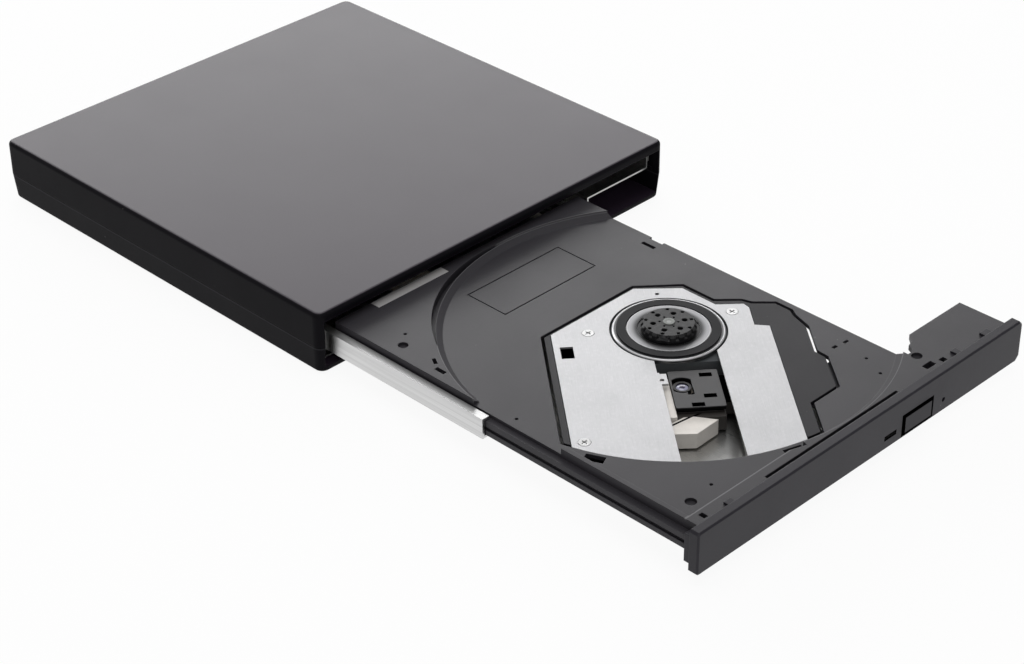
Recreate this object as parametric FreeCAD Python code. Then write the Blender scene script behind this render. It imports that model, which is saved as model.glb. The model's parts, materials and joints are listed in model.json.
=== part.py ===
"""External slim disc drive with its disc tray open.

Frame: millimetres, X to the right seen from the front, Y to the back, Z up.
The origin is on the table, under the middle of the whole drive with its tray out.
The pieces are drawn with Y counted from the middle of the enclosure, and save moves them all
forward or back by the same step. The tray is drawn fully open, and everything that rides on it is
placed from the bezel or from the spindle axis, so the whole mechanism follows those two.
"""
import FreeCAD, Part
import math
import os

V = FreeCAD.Vector
os.makedirs("parts", exist_ok=True)

# Enclosure, a plastic box in two shells round the drive's chassis
SIDE_WALL = 2.0
FLOOR_THICKNESS = 1.8
CEILING_THICKNESS = 2.0
SEAM_HEIGHT = 8.0
BOTTOM_DRAFT = 0.6
CORNER_RADIUS = 2.6
TOP_EDGE_RADIUS = 1.2
MOUTH_LIP_DEPTH = 0.6
MOUTH_LIP_THICKNESS = 2.0
TONGUE_THICKNESS = 0.9
TONGUE_HEIGHT = 1.2
SEAM_CLEARANCE = 0.1

# Feet and case screws
FOOT_RADIUS = 4.0
FOOT_PROUD = 0.6
FOOT_POCKET_DEPTH = 0.4
FOOT_INSET_X = 13.0
FOOT_INSET_Y = 13.0
CASE_SCREW_INSET_X = 22.0
CASE_SCREW_INSET_Y = 20.0
CASE_SCREW_RADIUS = 0.9
CASE_SCREW_HEAD_RADIUS = 1.9
CASE_SCREW_HEAD_HEIGHT = 0.8

# Drive chassis, a steel pan with a raised floor on the right, and a steel lid
CHASSIS_SIDE_GAP = 1.4
CHASSIS_REAR_GAP = 5.2
CHASSIS_TOP_GAP = 1.4
CHASSIS_WIDTH = 127.2
CHASSIS_DEPTH = 128.0
CHASSIS_HEIGHT = 12.7
SHEET = 0.5
CHASSIS_RECESS = 3.2
CHASSIS_PAD_HEIGHT = 0.5
RAISED_FLOOR_WIDTH = 25.6
RAISED_FLOOR_HEIGHT = 7.4
WING_SHORTENING = 16.0
LID_FLANGE_THICKNESS = 0.4
LID_FLANGE_DROP = 3.0
LID_FLANGE_GAP = 0.1

# Tray
TRAVEL_PAST_CHASSIS_DEPTH = 0.5
TRAY_LEFT_GAP = 3.6
TRAY_RIGHT_GAP = 6.0
TRAY_END_GAP = 0.8
TRAY_RIM_BELOW_LID = 1.2
RECESS_DEPTH = 1.7
DECK_THICKNESS = 1.2
TRAY_WALL = 1.2
CLOSED_GAP = 0.3
FLAG_THICKNESS = 1.4
FLAG_LENGTH = 29.4
FLAG_DEPTH = 15.5
LABEL_INSET = 12.5
LABEL_LENGTH = 25.5
LABEL_WIDTH = 3.1
PIN_HOLE_DEPTH = 0.9

# Disc recess, for a disc of 120 mm
RECESS_END_MARGIN = 2.6
RECESS_SLOPE_WIDTH = 1.85
RECESS_SLOPE_HEIGHT = 1.2
CRESCENT_RADIUS = 49.7
CRESCENT_OFFSET = 13.06
CRESCENT_ANGLE = 118.0

# Bezel and what sits in it
BEZEL_SIDE_OVERHANG = 0.4
BEZEL_HEIGHT = 12.3
BEZEL_THICKNESS = 2.8
BEZEL_EDGE_RADIUS = 0.7
BUTTON_FROM_TRAY_SIDE = 12.2
BUTTON_WIDTH = 11.6
BUTTON_HEIGHT = 5.4
BUTTON_ABOVE_BEZEL_BASE = 3.9
BUTTON_CLEARANCE = 0.3
BUTTON_PROUD = 0.3
BUTTON_TRAVEL = 0.6
SWITCH_LEFT_OF_BUTTON = 3.3
FRONT_BOARD_LEFT_OF_LIGHT = 6.7
FRONT_BOARD_DEPTH = 12.8
FRONT_BOARD_GAP = 0.6
LIGHT_FROM_TRAY_SIDE = 23.3
LIGHT_WIDTH = 4.4
LIGHT_HEIGHT = 1.0
RELEASE_HOLE_FROM_TRAY_SIDE = 1.4
RELEASE_HOLE_RADIUS = 0.65

# Slide rails
RAIL_SHORTENING = 16.0
RAIL_HEIGHT = 5.9
RAIL_FLANGE = 2.4
RAIL_SHEET = 0.7
RAIL_BEHIND_SPINDLE = 5.7
RAIL_CLEARANCE = 0.2
SLIDER_DEPTH = 1.9
GUIDE_CLEARANCE = 0.2
RIGHT_GUIDE_FRONT = 16.0
RIGHT_GUIDE_REAR = 32.0

# Traverse, turned about the spindle so that the pickup runs towards the left front corner
TRAVERSE_ANGLE = -130.0
GROOVE_WIDTH = 0.9
COVER_PLATE_THICKNESS = 0.6
INNER_COVER_THICKNESS = 1.0
FRAME_PLATE_THICKNESS = 1.2
SLOT_LEFT = -5.35
SLOT_RIGHT = 11.05
SPINDLE_HOLE_RADIUS = 15.6
MAIN_SHAFT_W = 13.0
MAIN_SHAFT_RADIUS = 1.0
SECOND_SHAFT_W = -9.0
SECOND_SHAFT_RADIUS = 0.8
LEAD_SCREW_W = 17.5
LEAD_SCREW_RADIUS = 1.2
LEAD_SCREW_PITCH = 3.0
MOTOR_RADIUS = 3.1
MOTOR_END = 13.0
SHAFT_RUNNING_FIT = 0.05
SHAFT_START = 12.2
SCREW_CORE_RADIUS = 0.9

# Turntable and clamping hub
TURNTABLE_RADIUS = 15.0
TURNTABLE_FLANGE = 1.0
TURNTABLE_ABOVE_FLOOR = 0.2
BELL_RADIUS = 12.4
RUBBER_INNER_RADIUS = 11.25
RUBBER_OUTER_RADIUS = 13.8
RUBBER_THICKNESS = 0.4
HUB_RADIUS = 7.35
HUB_HEIGHT = 2.2
BOSS_RADIUS = 1.6
CLAW_WIDTH = 2.4
CLAW_CLEARANCE = 0.15
CLAW_TRAVEL = 0.6

# Pickup
LENS_RADIUS_AT_REST = 24.4
LENS_STOP_FROM_RECESS_RIM = 3.6
PICKUP_BACK = 6.4
PICKUP_FRONT = 10.1
PICKUP_LEFT = 3.0
PICKUP_RIGHT = 9.8
PICKUP_TOP_BELOW_FLOOR = 1.2
PICKUP_HEADROOM = 0.4
LENS_OPTIC_RADIUS = 1.75
FOCUS_TRAVEL = 0.4

# Tray lock: a hook on the tray, a post on the chassis
LOCK_REACH = 9.3
LOCK_ANGLE = 58.0
LOCK_SWING = 10.0
LOCK_POST_RADIUS = 1.0
LOCK_CLEARANCE = 0.4

# Boards and sockets
BOARD_THICKNESS = 1.0
BRIDGE_BOARD_STANDOFF = 1.0
USB_SOCKET_INSET = 10.6
USB_SOCKET_WIDTH = 12.0
USB_SOCKET_HEIGHT = 10.9
USB_SOCKET_LENGTH = 16.2
SOCKET_SPACING = 11.6
POWER_JACK_WIDTH = 7.4
POWER_JACK_BORE_RADIUS = 1.9
POWER_JACK_PIN_RADIUS = 0.65
SOCKET_CLEARANCE = 0.2

# Places worked out from the sizes above
ENCLOSURE_WIDTH = CHASSIS_WIDTH + 2 * (CHASSIS_SIDE_GAP + SIDE_WALL)
ENCLOSURE_DEPTH = CHASSIS_RECESS + CHASSIS_DEPTH + CHASSIS_REAR_GAP + SIDE_WALL
ENCLOSURE_HEIGHT = (FLOOR_THICKNESS + CHASSIS_PAD_HEIGHT + CHASSIS_HEIGHT + CHASSIS_TOP_GAP
                    + CEILING_THICKNESS)
BASE_Z = FOOT_PROUD
TOP_Z = BASE_Z + ENCLOSURE_HEIGHT
FLOOR_Z = BASE_Z + FLOOR_THICKNESS
CEILING_Z = TOP_Z - CEILING_THICKNESS
MOUTH_TOP_Z = CEILING_Z - MOUTH_LIP_DEPTH
SEAM_Z = BASE_Z + SEAM_HEIGHT
HALF_W = ENCLOSURE_WIDTH / 2
HALF_D = ENCLOSURE_DEPTH / 2
IN_X = HALF_W - SIDE_WALL
IN_Y = HALF_D - SIDE_WALL

CH_Z0 = FLOOR_Z + CHASSIS_PAD_HEIGHT
CH_Z1 = CH_Z0 + CHASSIS_HEIGHT
CH_X = CHASSIS_WIDTH / 2
STEP_X = CH_X - RAISED_FLOOR_WIDTH
TRAY_LEFT_X = -CH_X + TRAY_LEFT_GAP
TRAY_RIGHT_X = STEP_X - TRAY_RIGHT_GAP
BEZEL_WIDTH = CHASSIS_WIDTH + 2 * BEZEL_SIDE_OVERHANG
BUTTON_X = TRAY_RIGHT_X - BUTTON_FROM_TRAY_SIDE
LIGHT_X = TRAY_RIGHT_X - LIGHT_FROM_TRAY_SIDE
RELEASE_HOLE_X = TRAY_RIGHT_X - RELEASE_HOLE_FROM_TRAY_SIDE
FRONT_BOARD_X0 = LIGHT_X - FRONT_BOARD_LEFT_OF_LIGHT
USB_SOCKET_X = HALF_W - USB_SOCKET_INSET
POWER_JACK_X = USB_SOCKET_X - SOCKET_SPACING
CH_IN_X = CH_X - SHEET
CH_Y0 = -HALF_D + CHASSIS_RECESS
CH_Y1 = CH_Y0 + CHASSIS_DEPTH
WING_Y1 = CH_Y1 - WING_SHORTENING
PAN_FLOOR_Z = CH_Z0 + SHEET
LID_Z0 = CH_Z1 - SHEET
RAISED_Z1 = CH_Z0 + RAISED_FLOOR_HEIGHT
RAISED_Z0 = RAISED_Z1 - SHEET

TRAY_TRAVEL = CHASSIS_DEPTH + TRAVEL_PAST_CHASSIS_DEPTH
TRAY_LENGTH = CHASSIS_DEPTH - TRAY_END_GAP
BEZEL_BACK_Y = CH_Y0 - CLOSED_GAP - TRAY_TRAVEL
BEZEL_FRONT_Y = BEZEL_BACK_Y - BEZEL_THICKNESS
WHOLE_MIDDLE_Y = (HALF_D + BEZEL_FRONT_Y - BUTTON_PROUD) / 2
BEZEL_Z0 = CH_Z0 + 0.1
BEZEL_Z1 = BEZEL_Z0 + BEZEL_HEIGHT
TRAY_REAR_Y = BEZEL_BACK_Y + TRAY_LENGTH
RIM_Z = LID_Z0 - TRAY_RIM_BELOW_LID
DISC_FLOOR_Z = RIM_Z - RECESS_DEPTH
DECK_Z0 = DISC_FLOOR_Z - DECK_THICKNESS
SPINDLE_Y = BEZEL_BACK_Y + TRAY_LENGTH / 2
RECESS_RIM_RADIUS = TRAY_LENGTH / 2 - RECESS_END_MARGIN
RECESS_FLOOR_RADIUS = RECESS_RIM_RADIUS - RECESS_SLOPE_WIDTH
PICKUP_TRAVEL_OUT = RECESS_RIM_RADIUS - LENS_STOP_FROM_RECESS_RIM - LENS_RADIUS_AT_REST
FRONT_STEP_Y = BEZEL_BACK_Y + 4.9
FRONT_WALL_Y = BEZEL_BACK_Y + TRAY_WALL
FRONT_BOARD_Y1 = BEZEL_BACK_Y + FRONT_BOARD_DEPTH
TUB_Z0 = PAN_FLOOR_Z + 0.5
TUB_Z1 = TUB_Z0 + SHEET
TUB_LEFT_X = TRAY_LEFT_X + 3.6
SKIRT_Z0 = DECK_Z0 - 4.6

RAIL_Y0 = SPINDLE_Y + RAIL_BEHIND_SPINDLE
RAIL_Y1 = RAIL_Y0 + CHASSIS_DEPTH - RAIL_SHORTENING
LEFT_RAIL_Z1 = DISC_FLOOR_Z - RAIL_CLEARANCE
LEFT_RAIL_Z0 = LEFT_RAIL_Z1 - RAIL_HEIGHT
RIGHT_RAIL_Z1 = DECK_Z0 - 0.3
RIGHT_RAIL_Z0 = RIGHT_RAIL_Z1 - RAIL_HEIGHT
RIGHT_SKIRT_X = TRAY_RIGHT_X - 3.5
GUIDE_REAR_Y = RAIL_Y1 + TRAY_TRAVEL / 2 + 0.7
SLIDER_REAR_Y = GUIDE_REAR_Y - 1.0 - TRAY_TRAVEL

PLATE_Z1 = DISC_FLOOR_Z
PLATE_Z0 = PLATE_Z1 - COVER_PLATE_THICKNESS
INNER_Z0 = PLATE_Z0 - INNER_COVER_THICKNESS
FRAME_Z1 = INNER_Z0
FRAME_PLATE_Z0 = FRAME_Z1 - FRAME_PLATE_THICKNESS
FRAME_Z0 = TUB_Z1 + 0.2
SHAFT_Z = FRAME_Z0 + 2.8
FLANGE_Z1 = DISC_FLOOR_Z + TURNTABLE_ABOVE_FLOOR
FLANGE_Z0 = FLANGE_Z1 - TURNTABLE_FLANGE
PICKUP_Z1 = DISC_FLOOR_Z - PICKUP_TOP_BELOW_FLOOR
PICKUP_COVER_Z0 = PICKUP_Z1 - 1.1
PICKUP_BODY_Z1 = PICKUP_COVER_Z0 - 0.9
PICKUP_WAY_Z1 = PICKUP_Z1 + PICKUP_HEADROOM
PICKUP_BODY_Z0 = FRAME_Z0 + 0.3

# Outline of the opening in the tray, as steps from the spindle axis, rear edge first
OPENING_POINTS = [(-26.0, 21.5), (9.2, 21.5), (19.6, 12.2), (19.6, 1.3), (24.9, -4.0),
                  (25.7, -6.7), (30.2, -11.4), (30.2, -17.1), (28.8, -19.3), (26.9, -25.3),
                  (19.4, -34.2), (19.1, -38.0), (10.3, -48.8), (0.0, -48.8), (-7.6, -57.9)]
# The bright plate keeps this outline behind and to the right of the turntable
PLATE_POINTS = [(-23.5, 20.2), (8.4, 20.2), (17.8, 11.0), (17.8, -0.8), (23.3, -5.9),
                (22.9, -8.1), (17.4, -14.6), (19.8, -17.8)]
PLATE_LEFT_W = -31.0
PLATE_RIGHT_W = 26.8
# Screws that hold the plate, the traverse and its rubber mounts together. The left one stands the
# same step inside the tray's side and inside the recess's slope, whichever is nearer the spindle
PLATE_SCREWS = [(-16.0, 13.9), (18.2, -6.2),
                (max(TRAY_LEFT_X + 7.6, 6.75 - RECESS_FLOOR_RADIUS), -19.3)]


def box(x0, x1, y0, y1, z0, z1):
    """Box between two corners."""
    return Part.makeBox(x1 - x0, y1 - y0, z1 - z0, V(x0, y0, z0))


def disc(x, y, z0, z1, radius):
    """Upright cylinder."""
    return Part.makeCylinder(radius, z1 - z0, V(x, y, z0))


def ring(x, y, z0, z1, inner, outer):
    """Upright tube."""
    return disc(x, y, z0, z1, outer).cut(disc(x, y, z0 - 1, z1 + 1, inner))


def face_of(points):
    """Flat face at z = 0 inside a closed polygon."""
    corners = [V(x, y, 0) for x, y in points]
    return Part.Face(Part.makePolygon(corners + corners[:1]))


def prism(points, z0, z1):
    """Polygon drawn up from z0 to z1."""
    return raise_face(face_of(points), z0, z1)


def raise_face(face, z0, z1):
    """A flat face at z = 0, drawn up from z0 to z1."""
    lifted = face.copy()
    lifted.translate(V(0, 0, z0))
    return lifted.extrude(V(0, 0, z1 - z0))


def profile_along_y(points, y0, y1):
    """Cross-section in X and Z, drawn from y0 to y1."""
    corners = [V(x, y0, z) for x, z in points]
    face = Part.Face(Part.makePolygon(corners + corners[:1]))
    return face.extrude(V(0, y1 - y0, 0))


def fused(shapes):
    """One solid from several that touch or overlap."""
    result = shapes[0]
    for shape in shapes[1:]:
        result = result.fuse(shape)
    return result.removeSplitter()


def without(shape, tools):
    """The shape with each tool cut away."""
    for tool in tools:
        shape = shape.cut(tool)
    return shape


def at_spindle(shape):
    """From the traverse's own frame, X outwards along the pickup's way, to the tray."""
    placed = shape.copy()
    placed.rotate(V(0, 0, 0), V(0, 0, 1), TRAVERSE_ANGLE)
    placed.translate(V(0, SPINDLE_Y, 0))
    return placed


def from_spindle(points):
    """Steps from the spindle axis to places in the frame."""
    return [(x, SPINDLE_Y + y) for x, y in points]


def upright_edges(shape):
    """Edges that run along Z."""
    found = []
    for edge in shape.Edges:
        low, high = edge.BoundBox.ZMin, edge.BoundBox.ZMax
        across = edge.BoundBox.XLength + edge.BoundBox.YLength
        if high - low > 0.5 and across < 0.01:
            found.append(edge)
    return found


def save(name, shape):
    """Write one sub-part, moved so that the origin is under the middle of the whole."""
    placed = shape.copy()
    placed.translate(V(0, -WHOLE_MIDDLE_Y, 0))
    placed.exportStep("parts/" + name + ".step")
    print(name, len(placed.Solids), round(placed.Volume, 1), placed.isValid())


def rounded_slab(half_x, half_y, z0, z1, radius):
    """Rectangular slab with round upright corners."""
    slab = box(-half_x, half_x, -half_y, half_y, z0, z1)
    return slab.makeFillet(radius, upright_edges(slab))


def rear_openings():
    """Windows in the back wall for the two sockets."""
    board_z = bridge_board_top()
    usb = box(USB_SOCKET_X - USB_SOCKET_WIDTH / 2 - SOCKET_CLEARANCE,
              USB_SOCKET_X + USB_SOCKET_WIDTH / 2 + SOCKET_CLEARANCE,
              IN_Y - 1, HALF_D + 1, board_z - SOCKET_CLEARANCE,
              board_z + USB_SOCKET_HEIGHT + SOCKET_CLEARANCE)
    jack = Part.makeCylinder(jack_nose_radius() + SOCKET_CLEARANCE, SIDE_WALL + 2,
                             V(POWER_JACK_X, IN_Y - 1, jack_axis_z()), V(0, 1, 0))
    return [usb, jack]


def bridge_board_top():
    return FLOOR_Z + BRIDGE_BOARD_STANDOFF + BOARD_THICKNESS


def jack_nose_radius():
    return POWER_JACK_BORE_RADIUS + 0.9


def jack_axis_z():
    return bridge_board_top() + jack_nose_radius() + 0.3


def top_cover():
    """Upper shell: top, upper half of the walls and the rim over the mouth."""
    shell = rounded_slab(HALF_W, HALF_D, SEAM_Z, TOP_Z, CORNER_RADIUS)
    rim = [e for e in shell.Edges if abs(e.BoundBox.ZMin - TOP_Z) < 0.01
           and abs(e.BoundBox.ZMax - TOP_Z) < 0.01]
    shell = shell.makeFillet(TOP_EDGE_RADIUS, rim)
    hollow = box(-IN_X, IN_X, -HALF_D + MOUTH_LIP_THICKNESS, IN_Y, SEAM_Z - 1, CEILING_Z)
    mouth = box(-IN_X, IN_X, -HALF_D - 1, 0, SEAM_Z - 1, MOUTH_TOP_Z)
    groove = box(-IN_X - TONGUE_THICKNESS - SEAM_CLEARANCE, IN_X + TONGUE_THICKNESS + SEAM_CLEARANCE,
                 -HALF_D + CORNER_RADIUS, IN_Y + TONGUE_THICKNESS + SEAM_CLEARANCE,
                 SEAM_Z - 1, SEAM_Z + TONGUE_HEIGHT + SEAM_CLEARANCE)
    shell = without(shell, [hollow, mouth, groove] + rear_openings())
    ribs = [box(x - 0.6, x + 0.6, CH_Y0 + 12, WING_Y1 - 6, CH_Z1, CEILING_Z)
            for x in (-48.0, -16.0, 16.0, 48.0)]
    return fused([shell] + ribs)


def foot_places():
    x = HALF_W - FOOT_INSET_X
    y = HALF_D - FOOT_INSET_Y
    return [(-x, -y), (x, -y), (-x, y), (x, y)]


def case_screw_places():
    x = HALF_W - CASE_SCREW_INSET_X
    return [(-x, CH_Y0 + CASE_SCREW_INSET_Y), (STEP_X - 10.0, CH_Y0 + CASE_SCREW_INSET_Y),
            (-x, CH_Y1 - CASE_SCREW_INSET_Y), (STEP_X - 10.0, CH_Y1 - CASE_SCREW_INSET_Y)]


def bottom_cover():
    """Lower shell: floor, lower half of the walls with a slight draft, pads and posts."""
    top_wire = rounded_slab(HALF_W, HALF_D, SEAM_Z, SEAM_Z + 1, CORNER_RADIUS)
    low_wire = rounded_slab(HALF_W - BOTTOM_DRAFT, HALF_D - BOTTOM_DRAFT, BASE_Z - 1, BASE_Z,
                            CORNER_RADIUS)
    upper = min(top_wire.Faces, key=lambda f: f.BoundBox.ZMax).OuterWire
    lower = max(low_wire.Faces, key=lambda f: f.BoundBox.ZMin).OuterWire
    shell = Part.makeLoft([lower, upper], True, True)
    base = [e for e in shell.Edges if e.BoundBox.ZMax < BASE_Z + 0.01]
    shell = shell.makeFillet(0.9, base)
    hollow = box(-IN_X, IN_X, -HALF_D + MOUTH_LIP_THICKNESS, IN_Y, FLOOR_Z, SEAM_Z + 1)
    mouth = box(-IN_X, IN_X, -HALF_D - 1, 0, FLOOR_Z, SEAM_Z + 1)
    shell = without(shell, [hollow, mouth])
    tongue = box(-IN_X - TONGUE_THICKNESS, IN_X + TONGUE_THICKNESS,
                 -HALF_D + CORNER_RADIUS + SEAM_CLEARANCE, IN_Y + TONGUE_THICKNESS,
                 SEAM_Z - 1, SEAM_Z + TONGUE_HEIGHT)
    tongue = tongue.cut(box(-IN_X, IN_X, -HALF_D - 1, IN_Y, SEAM_Z - 2, SEAM_Z + 3))
    pads = [box(x - 4, x + 4, y - 4, y + 4, FLOOR_Z, CH_Z0) for x, y in case_screw_places()]
    posts = [box(STEP_X + 4, CH_X - 4, y - 0.8, y + 0.8, FLOOR_Z, RAISED_Z0)
             for y in (CH_Y0 + 14, CH_Y0 + 55, WING_Y1 - 6)]
    board_posts = [disc(x, y, FLOOR_Z, FLOOR_Z + BRIDGE_BOARD_STANDOFF, 1.5)
                   for x, y in bridge_board_corners()]
    shell = fused([shell, tongue] + pads + posts + board_posts)
    holes = []
    for x, y in foot_places():
        holes.append(disc(x, y, BASE_Z - 1, BASE_Z + FOOT_POCKET_DEPTH, FOOT_RADIUS))
    for x, y in case_screw_places():
        holes.append(disc(x, y, BASE_Z - 1, CH_Z0 + 1, CASE_SCREW_RADIUS + 0.1))
        holes.append(disc(x, y, BASE_Z - 1, BASE_Z + CASE_SCREW_HEAD_HEIGHT,
                          CASE_SCREW_HEAD_RADIUS + 0.1))
    return without(shell, holes + rear_openings())


def rubber_feet():
    """Four round feet, let into shallow pockets."""
    feet = []
    for x, y in foot_places():
        foot = disc(x, y, 0, BASE_Z + FOOT_POCKET_DEPTH, FOOT_RADIUS)
        sole = [e for e in foot.Edges if e.BoundBox.ZMax < 0.01]
        feet.append(foot.makeFillet(FOOT_PROUD * 0.4, sole))
    return Part.makeCompound(feet)


def case_screws():
    """Four short screws from below, through the lower shell into the steel pan."""
    screws = []
    for x, y in case_screw_places():
        head = disc(x, y, BASE_Z + 0.1, BASE_Z + CASE_SCREW_HEAD_HEIGHT, CASE_SCREW_HEAD_RADIUS)
        shank = disc(x, y, BASE_Z + 0.2, PAN_FLOOR_Z, CASE_SCREW_RADIUS)
        slot = fused([box(x - 1.2, x + 1.2, y - 0.2, y + 0.2, BASE_Z, BASE_Z + 0.5),
                      box(x - 0.2, x + 0.2, y - 1.2, y + 1.2, BASE_Z, BASE_Z + 0.5)])
        screws.append(fused([head, shank]).cut(slot))
    return Part.makeCompound(screws)


def bottom_pan():
    """Steel pan: one bent sheet with the stepped floor, and a back wall round the notch."""
    floor = [(-CH_X, LID_Z0), (-CH_X, CH_Z0), (STEP_X + SHEET, CH_Z0), (STEP_X + SHEET, RAISED_Z0),
             (CH_X, RAISED_Z0), (CH_X, LID_Z0), (CH_IN_X, LID_Z0), (CH_IN_X, RAISED_Z1),
             (STEP_X, RAISED_Z1), (STEP_X, PAN_FLOOR_Z), (-CH_IN_X, PAN_FLOOR_Z), (-CH_IN_X, LID_Z0)]
    front = profile_along_y(floor, CH_Y0, WING_Y1)
    deep = [(-CH_X, LID_Z0), (-CH_X, CH_Z0), (STEP_X + SHEET, CH_Z0), (STEP_X + SHEET, LID_Z0),
            (STEP_X, LID_Z0), (STEP_X, PAN_FLOOR_Z), (-CH_IN_X, PAN_FLOOR_Z), (-CH_IN_X, LID_Z0)]
    rear = profile_along_y(deep, WING_Y1 - SHEET, CH_Y1)
    back = box(-CH_X, STEP_X + SHEET, CH_Y1 - SHEET, CH_Y1, CH_Z0, LID_Z0)
    wing_back = box(STEP_X, CH_X, WING_Y1 - SHEET, WING_Y1, RAISED_Z0, LID_Z0)
    passage = box(STEP_X - 1, STEP_X + 1, CH_Y1 - 30, WING_Y1 - 2, RAISED_Z1, LID_Z0 + 1)
    window = box(STEP_X + 3.5, STEP_X + 13.5, WING_Y1 - 2, WING_Y1 + 1, RAISED_Z1, LID_Z0 - 0.6)
    pan = fused([front, rear, back, wing_back])
    screws = [disc(x, y, CH_Z0 - 1, PAN_FLOOR_Z + 1, CASE_SCREW_RADIUS)
              for x, y in case_screw_places()]
    return without(pan, [passage, window] + screws)


def chassis_lid():
    """Flat steel lid with flanges outside the pan's walls and a pressed ring."""
    out_x = CH_X + LID_FLANGE_GAP + LID_FLANGE_THICKNESS
    step = STEP_X + SHEET + LID_FLANGE_GAP + LID_FLANGE_THICKNESS
    outline = [(-out_x, CH_Y0), (out_x, CH_Y0), (out_x, WING_Y1 + 0.5), (step, WING_Y1 + 0.5),
               (step, CH_Y1 + 0.5), (-out_x, CH_Y1 + 0.5)]
    plate = prism(outline, LID_Z0, CH_Z1)
    flanges = [box(-out_x, -out_x + LID_FLANGE_THICKNESS, CH_Y0, CH_Y1 + 0.5,
                   LID_Z0 - LID_FLANGE_DROP, LID_Z0 + 0.1),
               box(out_x - LID_FLANGE_THICKNESS, out_x, CH_Y0, WING_Y1 + 0.5,
                   LID_Z0 - LID_FLANGE_DROP, LID_Z0 + 0.1),
               box(-out_x, step, CH_Y1 + 0.1, CH_Y1 + 0.5, LID_Z0 - LID_FLANGE_DROP, LID_Z0 + 0.1)]
    bead = ring(0, CH_Y0 + CHASSIS_DEPTH / 2, CH_Z1 - 0.2, CH_Z1 + 0.1, 24, 26)
    return fused([plate] + flanges).cut(bead)


def left_rail_guide():
    """Plastic guide along the pan's left wall: a ledge under and over the rail, and a stop."""
    ledge_x = -CH_IN_X + RAIL_FLANGE + 0.3
    low = box(-CH_IN_X, ledge_x, CH_Y0 + 4, GUIDE_REAR_Y + 4, PAN_FLOOR_Z,
              LEFT_RAIL_Z0 - GUIDE_CLEARANCE)
    high = box(-CH_IN_X, -CH_IN_X + 1.9, CH_Y0 + 4, GUIDE_REAR_Y + 4,
               LEFT_RAIL_Z1 + GUIDE_CLEARANCE, LID_Z0)
    stop = box(-CH_IN_X, ledge_x, GUIDE_REAR_Y, GUIDE_REAR_Y + 4, PAN_FLOOR_Z, LID_Z0)
    relief = [box(-CH_IN_X + 0.8, ledge_x + 1, y, y + 9, PAN_FLOOR_Z + 0.8, LEFT_RAIL_Z0 - 0.8)
              for y in range(int(CH_Y0) + 10, int(GUIDE_REAR_Y) - 12, 15)]
    return without(fused([low, high, stop]), relief)


def right_rail_guide():
    """Plastic guide against the step of the pan, with pockets that save plastic."""
    y0 = CH_Y0 + RIGHT_GUIDE_FRONT
    y1 = CH_Y1 - RIGHT_GUIDE_REAR
    ledge = box(right_web_x() - RAIL_FLANGE, STEP_X, y0, y1, PAN_FLOOR_Z,
                RIGHT_RAIL_Z0 - GUIDE_CLEARANCE)
    wall = box(right_web_x() + RAIL_SHEET + GUIDE_CLEARANCE, STEP_X, y0, y1, PAN_FLOOR_Z,
               RIGHT_RAIL_Z1 - 0.5)
    pockets = [box(right_web_x() + RAIL_SHEET + 2.0, STEP_X - 1.2, y, y + 12, PAN_FLOOR_Z + 1.2,
                   RIGHT_RAIL_Z1 + 1) for y in range(int(y0) + 3, int(y1) - 13, 15)]
    return without(fused([ledge, wall]), pockets)


def left_web_x():
    """Outer face of the left rail."""
    return -CH_IN_X + 0.2


def right_web_x():
    """Inner face of the right rail's web."""
    return RIGHT_SKIRT_X + SLIDER_DEPTH + RAIL_CLEARANCE + 0.1


def left_rail():
    """Steel channel open to the right, turned over at its front end."""
    x = left_web_x()
    section = [(x, LEFT_RAIL_Z0), (x + RAIL_FLANGE, LEFT_RAIL_Z0),
               (x + RAIL_FLANGE, LEFT_RAIL_Z0 + RAIL_SHEET), (x + RAIL_SHEET, LEFT_RAIL_Z0 + RAIL_SHEET),
               (x + RAIL_SHEET, LEFT_RAIL_Z1 - RAIL_SHEET), (x + RAIL_FLANGE, LEFT_RAIL_Z1 - RAIL_SHEET),
               (x + RAIL_FLANGE, LEFT_RAIL_Z1), (x, LEFT_RAIL_Z1)]
    return profile_along_y(section, RAIL_Y0, RAIL_Y1)


def right_rail():
    """Steel channel open to the left."""
    x = right_web_x() + RAIL_SHEET
    section = [(x, RIGHT_RAIL_Z0), (x - RAIL_FLANGE, RIGHT_RAIL_Z0),
               (x - RAIL_FLANGE, RIGHT_RAIL_Z0 + RAIL_SHEET), (x - RAIL_SHEET, RIGHT_RAIL_Z0 + RAIL_SHEET),
               (x - RAIL_SHEET, RIGHT_RAIL_Z1 - RAIL_SHEET), (x - RAIL_FLANGE, RIGHT_RAIL_Z1 - RAIL_SHEET),
               (x - RAIL_FLANGE, RIGHT_RAIL_Z1), (x, RIGHT_RAIL_Z1)]
    return profile_along_y(section, RAIL_Y0, RAIL_Y1)


def bridge_board_corners():
    return [(STEP_X + 4.5, IN_Y - 17.0), (IN_X - 2.5, IN_Y - 17.5), (STEP_X + 4.0, IN_Y - 2.5)]


def bridge_board():
    """Small board in the notch behind the raised floor."""
    z1 = bridge_board_top()
    board = box(STEP_X + 2, IN_X - 0.4, WING_Y1 + 1.2, IN_Y - 0.3, z1 - BOARD_THICKNESS, z1)
    return board


def bridge_chips():
    """Controller, crystal and capacitors on the bridge board."""
    z = bridge_board_top()
    y = WING_Y1 + 4.0
    return Part.makeCompound([box(STEP_X + 13.0, STEP_X + 15.6, y - 2.3, y + 0.3, z, z + 1.2),
                              box(STEP_X + 16.4, STEP_X + 21.0, y - 2.4, y + 0.4, z, z + 1.0),
                              box(STEP_X + 22.0, STEP_X + 24.4, y - 2.2, y - 0.4, z, z + 1.6)])


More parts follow.
